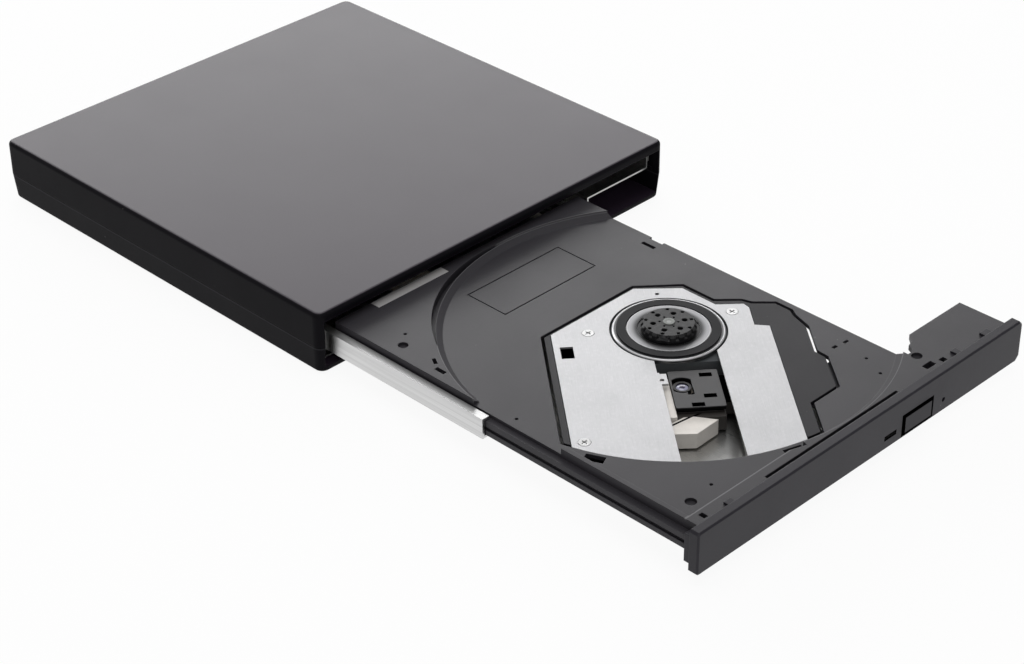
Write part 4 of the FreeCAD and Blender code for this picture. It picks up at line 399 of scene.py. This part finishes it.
def enclosure_plastic():
    """Satin shell, paler on top by painted light, with a dark line at the seam and a painted highlight just below
    it.
    """
    finish = moulded("enclosure_satin_black", (0.0060, 0.0054, 0.0072), 0.44, 0.28 * MM, 0.010 * MM, 0.45 * MM,
                     0.04)
    # Painted light: faces that look up are paler, as where light falls on them
    top = finish.up_facing()
    finish.tint(top, (0.0225, 0.0148, 0.0255))
    z = finish.axes()[2]
    sides = 1 - top
    # Painted highlight: a pale line just below the seam, on the sides
    finish.tint(z.band(SEAM_Z - 0.40 * MM, 0.30 * MM, 0.12 * MM) * sides * 0.7, (0.030, 0.029, 0.034))
    finish.shade(z.band(SEAM_Z, 0.22 * MM, 0.10 * MM) * sides, 0.25)
    finish.polish(0.74, 0.42)
    return finish.done()


def foot_rubber():
    return moulded("foot_rubber_black", (0.018, 0.018, 0.018), 0.75, 0.2 * MM, 0.02 * MM).done()


def black_screw_steel():
    return sheet_steel("screw_black_zinc", (0.06, 0.06, 0.065), 0.38, width=0.1 * MM, length=0.6 * MM).done()


def pan_steel():
    """Rolled sheet with the crystal spangle of its zinc."""
    finish = sheet_steel("pan_rolled_steel", (0.56, 0.56, 0.55), 0.30, ALONG_Y, 0.2 * MM, 16 * MM)
    spangle = finish.node("SeparateColor", None, {0: finish.cells(3.5 * MM, "Color")})
    finish.shade(spangle * 0.35, 0.8)
    return finish.done()


def guide_plastic():
    """Natural plastic of the slide guides; the parts at the rear of the enclosure are black."""
    finish = moulded("guide_natural_plastic", (0.62, 0.60, 0.54), 0.45)
    jack_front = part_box("power_jack")[0].y
    y = finish.axes()[1]
    finish.tint(y.fade(jack_front - 0.3 * MM, jack_front - 0.2 * MM), (0.014, 0.014, 0.015))
    return finish.done()


def bright_steel():
    return sheet_steel("polished_steel", (0.74, 0.74, 0.73), 0.16, TRAVERSE_ANGLE, 0.06 * MM, 5 * MM).done()


def circuit_board():
    """Board with solder mask over copper: fine tracks in two directions, vias and pads."""
    finish = Finish("board_green_mask", (0.012, 0.075, 0.030), 0.30)
    finish.rounded(0.1 * MM)
    lanes = finish.node("TexBrick", {"offset": 0.37, "offset_frequency": 3},
                        {"Vector": finish.place(), "Scale": 1 / (7 * MM), "Mortar Size": 0.045,
                         "Brick Width": 0.9, "Row Height": 0.11, "Mortar Smooth": 0.2}, "Fac")
    across = finish.node("TexBrick", {"offset": 0.61, "offset_frequency": 2},
                         {"Vector": finish.place(turn=ALONG_Y), "Scale": 1 / (9 * MM),
                          "Mortar Size": 0.035, "Brick Width": 1.2, "Row Height": 0.16, "Mortar Smooth": 0.2},
                         "Fac")
    tracks = lanes * 0.6 + across * 0.4
    vias = finish.specks(2.6 * MM, 0.16)
    finish.tint(tracks * 0.5, (0.035, 0.16, 0.06))
    finish.tint(vias, (0.55, 0.47, 0.25))
    finish.rough((finish.noise(4 * MM) - 0.5) * 0.1)
    finish.relief(tracks + vias, 0.03 * MM)
    return finish.done()


def chip_plastic():
    return moulded("chip_moulding", (0.028, 0.028, 0.029), 0.52, 0.12 * MM, 0.008 * MM, 0.1 * MM).done()


def socket_metal():
    return sheet_steel("socket_nickel", (0.42, 0.41, 0.38), 0.32, ALONG_Y, 0.12 * MM, 3 * MM).done()


def socket_plastic():
    return moulded("socket_moulding", (0.03, 0.03, 0.032), 0.42, 0.15 * MM, 0.006 * MM, 0.15 * MM).done()


def ribbon_film():
    """Flat ribbon: pale film over copper conductors 0.5 mm apart."""
    finish = Finish("ribbon_film", (0.72, 0.72, 0.70), 0.28, Coat_Weight=0.3)
    finish.rounded(0.05 * MM)
    x = finish.axes()[0]
    conductor = (x / (0.5 * MM)).fraction().band(0.5, 0.45, 0.1)
    finish.tint(conductor * 0.6, (0.62, 0.44, 0.26))
    finish.rough((finish.noise(5 * MM) - 0.5) * 0.1)
    finish.relief(conductor, 0.02 * MM)
    return finish.done()


def rail_steel():
    """Drawn channel: long draw marks in tone, gloss and relief, brighter edges, painted shade towards the rear so
    the front is brightest.
    """
    finish = Finish("rail_drawn_steel", (0.77, 0.77, 0.77), 0.37, 1.0)
    worn = finish.rounded(0.12 * MM)
    fine = finish.streaks(0.45 * MM, 60 * MM, ALONG_Y, 2.0)
    broad = finish.streaks(1.5 * MM, 90 * MM, ALONG_Y, 1.0)
    finish.shade(broad.fade(0.40, 0.60), 0.90)
    finish.shade(fine.fade(0.45, 0.62) * 0.6, 0.86)
    y = finish.axes()[1]
    # Painted shade: darker towards the rear, so the front stays brightest
    finish.shade(y.fade(TRAY_FRONT_Y + 35 * MM, TRAY_FRONT_Y + 70 * MM), 0.92)
    finish.tint(worn * 0.3, (0.92, 0.92, 0.90))
    finish.rough((fine - 0.5) * 0.14)
    finish.relief(fine, 0.0012 * MM)
    return finish.done()


def tray_plastic():
    """Eroded plastic with rub marks, a matt slope, and painted highlights on the rim and along the front deck's
    step.
    """
    finish = moulded("tray_eroded_plastic", (0.026, 0.024, 0.029), 0.47, 0.30 * MM, 0.016 * MM, 0.22 * MM)
    finish.polish(0.14, 0.42)
    rub = finish.streaks(0.25 * MM, 12 * MM, ALONG_Y).fade(0.68, 0.80)
    finish.tint(rub * 0.10, (0.22, 0.21, 0.22))
    x, y, z = finish.axes((SPINDLE.x, SPINDLE.y, 0))
    out = distance(x, y)
    above_recess = z.fade(RECESS_Z + 0.05 * MM, RECESS_Z + 0.12 * MM)
    finish.rough(out.band(SLOPE_RADIUS, SLOPE_WIDTH, 0.06 * MM) * above_recess * 0.14)
    # Painted highlight: a pale line along the top edge of the recess, at the rim
    rim_highlight = out.band(RIM_HIGHLIGHT_RADIUS, 0.30 * MM, 0.12 * MM) * z.fade(RIM_Z - 0.7 * MM, RIM_Z - 0.5 * MM)
    finish.tint(rim_highlight * 0.8, (0.11, 0.108, 0.115))
    # Painted highlight: a pale line along the front deck's step
    step_y = TRAY_FRONT_Y + 4.85 * MM - SPINDLE.y
    step = (y - step_y).band(0.0, 0.30 * MM, 0.25 * MM) * x.fade(-14 * MM, -17 * MM)
    finish.tint(step * z.fade(RIM_Z - 0.3 * MM, RIM_Z - 0.2 * MM) * 0.6, (0.19, 0.188, 0.195))
    return finish.done()


def bezel_plastic():
    """Fine satin front: a darker button face, a line of painted shade round it, and painted shade over the light's
    window.

    The button's flange reaches further down than up, so its cap's middle lies just below its box's.
    """
    finish = moulded("bezel_fine_satin", (0.0185, 0.0168, 0.0228), 0.40, 0.22 * MM, 0.008 * MM, 0.25 * MM, 0.25)
    low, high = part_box("eject_button")
    middle = (low + high) / 2
    x, y, z = finish.axes((middle.x, 0, middle.z - 0.05 * MM))
    across, up = abs(x), abs(z)

    def within(half, soft):
        return across.fade(half[0] + soft, half[0]) * up.fade(half[1] + soft, half[1])

    face = within(FACE_HALF, 0.15 * MM)
    finish.shade(face, 0.8)
    finish.metallic = face * 0.4
    # Painted shade: a dead black line round the button, as in the gap between it and the bezel
    finish.paint_shade_black(within(GAP_SHADE_HALF, 0.15 * MM) * (1 - face))
    light = (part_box("status_light")[0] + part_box("status_light")[1]) / 2
    x, y, z = finish.axes((light.x, 0, low.z + WINDOW_RISE))
    across, up = abs(x), abs(z)
    wide, tall = WINDOW_HALF
    # Painted shade: dead black over the window of the light, as in its recess
    finish.paint_shade_black(across.fade(wide + 0.15 * MM, wide) * up.fade(tall + 0.12 * MM, tall))
    return finish.done()


def light_guide():
    """Clear smoked light guide, unlit, with painted shade, dead black, over most of it."""
    finish = Finish("light_guide_smoke", (0.006, 0.006, 0.007), 0.24, Specular_IOR_Level=0.2)
    finish.rounded(0.1 * MM)
    finish.tint(finish.noise(1.2 * MM).fade(0.4, 0.7) * 0.4, (0.018, 0.018, 0.020))
    finish.rough((finish.noise(0.8 * MM) - 0.5) * 0.06)
    # Painted shade over most of the guide, as deep in its window
    finish.paint_shade_black(finish.noise(0.9 * MM, 2.0).fade(0.20, 0.55) * 0.25 + 0.7)
    return finish.done()


def solenoid_copper():
    return sheet_steel("solenoid_frame_steel", (0.52, 0.50, 0.47), 0.34, 0.0, 0.1 * MM, 2 * MM).done()


def cover_plate_steel():
    finish = sheet_steel("plate_brushed_steel", (0.50, 0.50, 0.51), 0.52, TRAVERSE_ANGLE, 0.10 * MM, 7 * MM,
                         0.0012 * MM)
    finish.tint(finish.noise(1.1 * MM, 3.0).fade(0.45, 0.8) * 0.12, (0.75, 0.75, 0.76))
    return finish.done()


def inner_cover_plastic():
    finish = moulded("inner_cover_dark", (0.010, 0.009, 0.012), 0.46, 0.3 * MM, 0.014 * MM, 0.2 * MM, 0.2)
    finish.polish(0.02, 0.42)
    return finish.done()


def frame_plastic():
    return moulded("frame_glass_filled", (0.085, 0.092, 0.098), 0.5, 0.4 * MM, 0.02 * MM).done()


def motor_steel():
    return sheet_steel("motor_can_steel", (0.58, 0.57, 0.55), 0.26, TRAVERSE_ANGLE, 0.1 * MM, 3 * MM).done()


def mount_rubber():
    return moulded("mount_rubber_dark", (0.03, 0.028, 0.03), 0.7, 0.15 * MM, 0.01 * MM).done()


def plate_screw_steel():
    return sheet_steel("plate_screw_zinc", (0.60, 0.60, 0.60), 0.33, 0.3, 0.08 * MM, 0.7 * MM).done()


def stator_metal():
    return sheet_steel("stator_steel", (0.45, 0.44, 0.42), 0.36, 0.0, 0.12 * MM, 2 * MM).done()


def label_film():
    finish = Finish("label_pale_film", (0.36, 0.35, 0.35), 0.42)
    finish.rounded(0.05 * MM)
    finish.shade(finish.noise(4 * MM, 4.0).fade(0.3, 0.8) * 0.6, 0.86)
    finish.rough((finish.noise(2 * MM) - 0.5) * 0.12)
    finish.relief(finish.noise(0.6 * MM, 3.0), 0.01 * MM)
    return finish.done()


def hook_plastic():
    return moulded("hook_acetal", (0.045, 0.045, 0.045), 0.4, 0.3 * MM, 0.008 * MM).done()


def turntable_metal():
    """Turned flange: concentric tool marks, painted highlights on the rim and round the hub's ring, painted shade
    round the hub and in a groove.
    """
    finish = Finish("turntable_turned_metal", (0.30, 0.30, 0.31), 0.34, 1.0)
    worn = finish.rounded(0.16 * MM)
    x, y, z = finish.axes(SPINDLE)
    radius = distance(x, y)
    rings = finish.noise(0.12 * MM, where=finish.node("CombineXYZ", None, {0: radius, 1: z}))
    finish.shade(rings * 0.5, 0.6)
    # Painted shadow round the hub, painted shade in a groove, painted highlights round the hub's ring and on the
    # rim
    finish.shade(radius.fade(TABLE_SHADOW + 2 * MM, TABLE_SHADOW), 0.10)
    finish.shade(radius.band(TABLE_GROOVE_SHADE, 0.45 * MM, 0.12 * MM), 0.35)
    finish.tint(radius.band(TABLE_HIGHLIGHT_LINE, 0.25 * MM, 0.25 * MM) * 0.35, (0.62, 0.62, 0.63))
    finish.tint(radius.band(TABLE_RIM_HIGHLIGHT, 0.26 * MM, 0.14 * MM) * 0.6, (0.80, 0.80, 0.81))
    finish.tint(worn * 0.2, (0.85, 0.85, 0.86))
    finish.rough((rings - 0.5) * 0.18)
    finish.relief(rings, 0.003 * MM)
    return finish.done()


def turntable_rubber():
    return moulded("turntable_rubber_dark", (0.018, 0.018, 0.020), 0.62, 0.16 * MM, 0.012 * MM, 0.12 * MM,
                   0.15).done()


def hub_plastic():
    """Glossy black hub with a paler boss in the middle, where the shaft comes through, and painted shade in its
    pits.
    """
    finish = moulded("hub_glossy_black", (0.014, 0.014, 0.015), 0.36, 0.3 * MM, 0.010 * MM, 0.18 * MM, 0.26)
    finish.tint(finish.noise(0.9 * MM, 4.0).fade(0.48, 0.70) * 0.5, (0.045, 0.045, 0.047))
    x, y, z = finish.axes(SPINDLE)
    radius = distance(x, y)
    # Painted shade in the pits
    for count, ring, size, _, first in HUB_PITS:
        finish.shade(finish.spots(x, y, count, ring, size, first), 0.08)
    finish.shade(radius.band(BOSS_RADIUS + 0.45 * MM, 0.5 * MM, 0.1 * MM), 0.25)
    finish.tint(radius.fade(BOSS_RADIUS + 0.15 * MM, BOSS_RADIUS), (0.22, 0.23, 0.22))
    finish.tint(radius.fade(HOLLOW_RADIUS + 0.20 * MM, HOLLOW_RADIUS + 0.05 * MM), (0.33, 0.34, 0.33))
    return finish.done()


def pickup_casting():
    """Pale die casting: matt skin with flow marks, a slightly pink-cream tone, dark places and painted shade."""
    finish = Finish("pickup_die_casting", (0.80, 0.76, 0.71), 0.50, 0.10)
    worn = finish.rounded(0.25 * MM)
    finish.shade(finish.noise(2.5 * MM, 5.0).fade(0.35, 0.8) * 0.5, 0.82)
    finish.tint(worn * 0.4, (0.82, 0.78, 0.73))
    # Dark where it carries the shaft's bush and the optics block; painted shade, black, below the cover's edge
    along, across, z = finish.axes((SPINDLE.x, SPINDLE.y, 0), TRAVERSE_ANGLE)
    reach = along - LENS_REACH
    casting_top = RECESS_Z - CASTING_DEPTH
    bush = across.fade(BUSH_START - 0.4 * MM, BUSH_START)
    block = reach.band(BLOCK_MIDDLE, BLOCK_LENGTH, 0.05 * MM) * across.fade(BLOCK_START - 0.4 * MM, BLOCK_START)
    block = block * z.fade(casting_top + 0.11 * MM, casting_top + 0.01 * MM)
    shade_under_cover = z.fade(casting_top - 0.08 * MM, casting_top) * across.fade(BLOCK_START - 0.15 * MM, BLOCK_START)
    shade_under_cover = shade_under_cover * reach.fade(COVER_REACH + 0.2 * MM, COVER_REACH)
    black = 1 - (1 - bush) * (1 - block)
    finish.tint(black, (0.030, 0.026, 0.023))
    finish.metallic = 0.1 * (1 - black)
    finish.paint_shade_black(shade_under_cover)
    # Painted shade in the gap between the arm and the front block: the distance from a line slanting across the
    # casting
    gap = (reach - GAP_POINT[0]) * GAP_NORMAL[0] + (across - GAP_POINT[1]) * GAP_NORMAL[1]
    past_cover = reach.fade(COVER_REACH - 0.2 * MM, COVER_REACH)
    finish.paint_shade_black(gap.band(0.0, 0.42 * MM, 0.15 * MM) * past_cover)
    finish.rough((finish.noise(1.2 * MM, 4.0) - 0.5) * 0.2)
    finish.relief(finish.noise(0.35 * MM, 4.0), 0.02 * MM)
    return finish.done()


def pickup_cover_plastic():
    """Dark cover with three slots in it, each painted as a dead black oblong of shade, and painted shade on the
    walls below its top.
    """
    finish = moulded("pickup_cover_dark", (0.026, 0.025, 0.027), 0.45, 0.25 * MM, 0.012 * MM, 0.2 * MM)
    finish.polish(0.19, 0.40)
    along, across, z = finish.axes((SPINDLE.x, SPINDLE.y, 0), TRAVERSE_ANGLE)
    reach = along - LENS_REACH
    # Painted shade: each slot a dead black oblong, as seen down into it
    for u, w in SLOT_MIDDLES:
        finish.paint_shade_black(reach.band(u, SLOT_LENGTH, 0.1 * MM) * across.band(w, SLOT_WIDTH, 0.1 * MM))
    # Painted shade on the walls below the top
    wall_top = RECESS_Z - COVER_WALL_DEPTH
    finish.paint_shade_black(z.fade(wall_top + 0.1 * MM, wall_top) * 0.8)
    return finish.done()


def lens_holder_plastic():
    return moulded("lens_holder_black", (0.007, 0.007, 0.008), 0.4, 0.12 * MM, 0.004 * MM, 0.08 * MM).done()


def plate_hole_shade():
    """Painted shade: black film behind the cover plate's square hole, which looks empty."""
    finish = moulded("plate_hole_shade", (0.006, 0.006, 0.006), 0.8, 0.3 * MM, 0.01 * MM, 0.1 * MM, 0.05)
    # Painted shade over nearly all of it
    finish.paint_shade_black(finish.noise(1.5 * MM, 2.0).fade(0.2, 0.5) * 0.2 + 0.75)
    return finish.done()


def contact_gold():
    return sheet_steel("contact_gold_plate", (0.83, 0.62, 0.28), 0.22, ALONG_Y, 0.06 * MM, 2 * MM).done()


def lens_glass():
    """Coated lens: a blue-grey collar, deep purple in the middle and dark at the edge."""
    finish = Finish("lens_coated_glass", (0.32, 0.32, 0.43), 0.14, Coat_Weight=0.3, IOR=1.6)
    centre = (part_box("objective_lens")[0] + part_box("objective_lens")[1]) / 2
    x, y, z = finish.axes(centre)
    radius = distance(x, y)
    finish.tint(radius.fade(LENS_MIDDLE + 0.25 * MM, LENS_MIDDLE), (0.020, 0.014, 0.055))
    finish.tint(radius.fade(LENS_COLLAR, LENS_COLLAR + 0.18 * MM), (0.07, 0.07, 0.11))
    finish.rough((finish.noise(0.5 * MM) - 0.5) * 0.04)
    return finish.done()


FINISHES = {maker.__name__: maker for maker in (
    enclosure_plastic, foot_rubber, black_screw_steel, pan_steel, guide_plastic, bright_steel, circuit_board,
    chip_plastic, socket_metal, socket_plastic, ribbon_film, rail_steel, tray_plastic, bezel_plastic,
    light_guide, solenoid_copper, cover_plate_steel, inner_cover_plastic, frame_plastic, motor_steel,
    mount_rubber, plate_screw_steel, stator_metal, label_film, hook_plastic, turntable_metal,
    turntable_rubber, hub_plastic, pickup_casting, pickup_cover_plastic, lens_holder_plastic, lens_glass)}


def dress_nodes():
    """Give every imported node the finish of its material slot, and keep the made finishes by slot."""
    made = {}
    for part in frame["record"]["subparts"]:
        slot = part["material_slot"]
        if slot not in made:
            made[slot] = FINISHES[slot]()
        mesh = frame["nodes"][part["node"]].data
        mesh.materials.clear()
        mesh.materials.append(made[slot])
    return made


def add_object(name, data):
    """Object with this mesh, lamp or camera, linked to the scene."""
    made = bpy.data.objects.new(name, data)
    bpy.context.scene.collection.objects.link(made)
    return made


def closed_piece(name, rings, material, node):
    """Mesh through rings of points, each joined to the next and to itself, with a fan over both ends.

    rings has one row of points for each ring. Faces are turned outwards by the sign of the volume: the
    sum over the faces of corner . (second x third) / 6, of which only the sign is used.
    """
    rows, around = rings.shape[:2]
    index = np.arange(rows * around).reshape(rows, around)
    next_index = np.roll(index, -1, axis=1)
    quads = np.stack((index[:-1], next_index[:-1], next_index[1:], index[1:]), axis=-1).reshape(-1, 4)
    first, last = rows * around, rows * around + 1
    fans = [np.stack((np.full(around, first), next_index[0], index[0]), axis=-1),
            np.stack((np.full(around, last), index[-1], next_index[-1]), axis=-1)]
    points = np.concatenate((rings.reshape(-1, 3), [rings[0].mean(0), rings[-1].mean(0)]))
    triangles = np.concatenate((quads[:, :3], quads[:, [0, 2, 3]], *fans))
    a, b, c = (points[triangles[:, i]] - points.mean(0) for i in range(3))
    if np.einsum("ij,ij->i", a, np.cross(b, c)).sum() < 0:
        quads, fans = quads[:, ::-1], [fan[:, ::-1] for fan in fans]
    mesh = bpy.data.meshes.new(name)
    mesh.from_pydata(points.tolist(), [], quads.tolist() + np.concatenate(fans).tolist())
    mesh.materials.append(material)
    piece = add_object(name, mesh)
    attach(piece, body_of(frame["nodes"][node])[0])
    return piece


def ramp(values, start, end):
    """0 at start, 1 at end, with 3t^2 - 2t^3 between them, where t goes evenly from 0 to 1."""
    t = np.clip((values - start) / (end - start), 0.0, 1.0)
    return t * t * (3 - 2 * t)


def spindle_hub(finishes):
    """Hub with its pits, notches and boss.

    One parameter runs from the axis out over the top, down the chamfer and down the wall, the other
    round the axis. Height = - drop along that outline - the pit's depth inside a pit's circle + the
    boss's height near the axis - its hollow's depth. The wall's radius is drawn in by NOTCH_SHARE where
    the arc from the nearest notch's middle is under about 0.4 mm, and not above the chamfer or below
    1.5 mm of drop. The ramps soften each edge.
    """
    low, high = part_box("clamp_hub")
    shoulder, top = HUB_RADIUS - HUB_CHAMFER, high.z - BOSS_HEIGHT
    out = np.concatenate((np.linspace(0.03 * MM, shoulder, HUB_TOP_RINGS),
                          np.linspace(shoulder, HUB_RADIUS, HUB_CHAMFER_RINGS)[1:],
                          np.full(HUB_WALL_RINGS, HUB_RADIUS)))
    drop = np.concatenate((np.zeros(HUB_TOP_RINGS), np.linspace(0, HUB_CHAMFER, HUB_CHAMFER_RINGS)[1:],
                           np.linspace(HUB_CHAMFER, top - low.z, HUB_WALL_RINGS + 1)[1:]))
    angle = np.linspace(0, TAU, HUB_SEGMENTS, endpoint=False)
    out, angle = np.meshgrid(out, angle, indexing="ij")
    drop = np.repeat(drop[:, None], HUB_SEGMENTS, axis=1)
    x, y = out * np.cos(angle), out * np.sin(angle)
    height = -drop
    for count, ring, size, depth, first in HUB_PITS:
        centres = first + TAU * np.arange(count) / count
        apart = np.sqrt((x[..., None] - ring * np.cos(centres)) ** 2 + (y[..., None] - ring * np.sin(centres)) ** 2)
        height -= depth * ramp(apart.min(-1), size, size - 0.14 * MM)
    height += BOSS_HEIGHT * ramp(out, BOSS_RADIUS + 0.12 * MM, BOSS_RADIUS)
    height -= HOLLOW_DEPTH * ramp(out, HOLLOW_RADIUS + 0.15 * MM, HOLLOW_RADIUS)
    arc = np.abs(((angle * HUB_NOTCHES / TAU + 0.5) % 1.0) - 0.5) * TAU / HUB_NOTCHES * HUB_RADIUS
    notch = ramp(arc, 0.55 * MM, 0.35 * MM) * ramp(out, shoulder, HUB_RADIUS - HUB_WALL_INSET)
    shrink = 1 - NOTCH_SHARE * notch * ramp(drop, 1.5 * MM, 1.2 * MM)
    points = np.stack((SPINDLE.x + x * shrink, SPINDLE.y + y * shrink, top + height), axis=-1)
    hub = closed_piece("spindle_hub", points, finishes["hub_plastic"], "clamp_hub")
    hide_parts("clamp_hub")


def film(name, corners, top, thickness, material, node):
    """Flat piece inside a polygon, this thick below its top."""
    corners = np.array(corners, float)
    rings = np.stack([np.column_stack((corners, np.full(len(corners), z))) for z in (top - thickness, top)])
    closed_piece(name, rings, material, node)


def shade_sheets(finishes):
    """Painted shade: black sheets under three openings that look black.

    They are the groove's right corner, the square hole behind the bezel and the cover plate's square hole.
    The groove's film is a strip along a path of points from the spindle, as wide to each side as side
    says. The cover plate's is given along and across the traverse, and turned by its angle.
    """
    dark = finishes["inner_cover_plastic"]
    path = np.array([(30.6, -9.5), (30.6, -17.3), (29.2, -20.2), (28.3, -22.6)]) * MM
    side = np.array([(1.0, 0.0), (1.0, -0.1), (1.0, -0.35), (1.0, -0.4)]) * 1.6 * MM
    corners = np.concatenate((path - side, (path + side)[::-1])) + np.array((SPINDLE.x, SPINDLE.y))
    film("groove_shade_sheet", corners, RECESS_Z - 1.23 * MM, 0.10 * MM, dark, "disc_tray")
    x0, y0 = SPINDLE.x + 31.2 * MM, TRAY_FRONT_Y + 1.4 * MM
    x1, y1 = x0 + 7 * MM, y0 + 6.4 * MM
    film("flag_shade_sheet", [(x0, y0), (x1, y0), (x1, y1), (x0, y1)], RIM_Z - 1.42 * MM, 0.08 * MM, dark, "disc_tray")
    along, across = np.array([(5.1, -29.9), (11.8, -29.9), (11.8, -25.3), (5.1, -25.3)]).T * MM
    cosine, sine = math.cos(TRAVERSE_ANGLE), math.sin(TRAVERSE_ANGLE)
    corners = np.column_stack((SPINDLE.x + along * cosine - across * sine,
                               SPINDLE.y + along * sine + across * cosine))
    film("plate_shade_sheet", corners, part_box("mechanism_cover_plate")[1].z - 0.6 * MM, 0.08 * MM, plate_hole_shade(),
         "mechanism_cover_plate")


def usb_contacts():
    """Four sprung strips on the contact block: a flat section carried along a path that dips at its free end.

    Along the strip, its height over the block = 0.14 mm - 0.42 mm * ramp over the last 1.1 mm.
    """
    gold = contact_gold()
    low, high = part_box("usb_contact_block")
    middle = (low + high) / 2
    along = np.linspace(low.y + 0.5 * MM, high.y - 0.05 * MM, CONTACT_STEPS)
    lift = 0.14 * MM - 0.42 * MM * ramp(along, high.y - 1.1 * MM, high.y)
    section = np.array([(-0.5, -0.09), (0.5, -0.09), (0.5, 0.09), (-0.5, 0.09)]) * MM
    for side, level in ((-1, "low"), (1, "top")):
        for place, hand in ((-1.25 * MM, "left"), (1.25 * MM, "right")):
            z = middle.z + side * ((high.z - low.z) / 2 + lift)
            rings = np.stack([np.stack((np.full(CONTACT_STEPS, middle.x + place + dx), along, z + dz), axis=-1)
                              for dx, dz in section], axis=1)
            closed_piece(f"usb_contact_{level}_{hand}", rings, gold, "usb_contact_block")


def place_camera():
    """Camera at the fitted place: its backward axis from azimuth and elevation, then rolled about it."""
    back = Vector((math.sin(CAMERA_AZIMUTH) * math.cos(CAMERA_ELEVATION),
                   -math.cos(CAMERA_AZIMUTH) * math.cos(CAMERA_ELEVATION), math.sin(CAMERA_ELEVATION)))
    right = (-back).cross(Vector((0, 0, 1))).normalized()
    up = right.cross(-back)
    turned_right = right * math.cos(CAMERA_ROLL) + up * math.sin(CAMERA_ROLL)
    turned_up = up * math.cos(CAMERA_ROLL) - right * math.sin(CAMERA_ROLL)
    data = bpy.data.cameras.new("camera")
    data.sensor_fit = "HORIZONTAL"
    data.sensor_width = SENSOR_WIDTH
    data.lens = CAMERA_LENS
    data.clip_start = 0.01
    camera = add_object("camera", data)
    turn = Matrix((turned_right, turned_up, back)).transposed()
    camera.matrix_world = Matrix.Translation(CAMERA_PLACE) @ turn.to_4x4()
    bpy.context.scene.camera = camera


def soft_light(name, place, size, power):
    """Large rectangular lamp at a place, turned to face the origin."""
    data = bpy.data.lights.new(name, "AREA")
    data.shape = "RECTANGLE"
    data.size, data.size_y = size
    data.energy = power
    turn = (-Vector(place)).to_track_quat("-Z", "Y").to_matrix().to_4x4()
    add_object(name, data).matrix_world = Matrix.Translation(place) @ turn


def light_studio():
    """Pale surroundings that the camera sees as white and mirrors as light grey, with three soft lamps."""
    world = bpy.data.worlds.new("studio")
    bpy.context.scene.world = world
    world.use_nodes = True
    nodes = Nodes(world.node_tree)
    background = world.node_tree.nodes["Background"]
    seen = nodes.ray("Camera").larger(nodes.ray("Transmission"))
    mirrored = nodes.ray("Glossy") * (MIRRORED_BACKGROUND - AMBIENT) + AMBIENT
    nodes.feed(seen.larger(mirrored), background.inputs["Strength"])
    nodes.feed((1.0, 1.0, 1.0, 1.0), background.inputs["Color"])
    soft_light("key_behind", (0.62, 1.15, 0.50), (1.9, 0.5), 13.0)
    soft_light("overhead", (0.0, 0.05, 1.2), (0.9, 0.9), 6.0)
    soft_light("fill_front", (-0.55, -0.90, 0.6), (0.6, 0.6), 1.8)


def lay_floor():
    """Wide white floor that keeps a soft shadow; the camera sees it nearly as bright as the background."""
    half = FLOOR_HALF_WIDTH
    mesh = bpy.data.meshes.new("floor")
    mesh.from_pydata([(-half, -half, 0), (half, -half, 0), (half, half, 0), (-half, half, 0)], [], [(0, 1, 2, 3)])
    finish = Finish("floor_white", (0.88, 0.88, 0.88), 0.9)
    seen = finish.ray("Camera").larger(finish.ray("Glossy")).larger(finish.ray("Transmission"))
    finish.cover(seen * FLOOR_GLOW, finish.node("Emission"))
    mesh.materials.append(finish.done())
    add_object("floor", mesh)


finishes = dress_nodes()
spindle_hub(finishes)
shade_sheets(finishes)
usb_contacts()
place_camera()
light_studio()
lay_floor()

bpy.context.scene.view_settings.view_transform = "Standard"
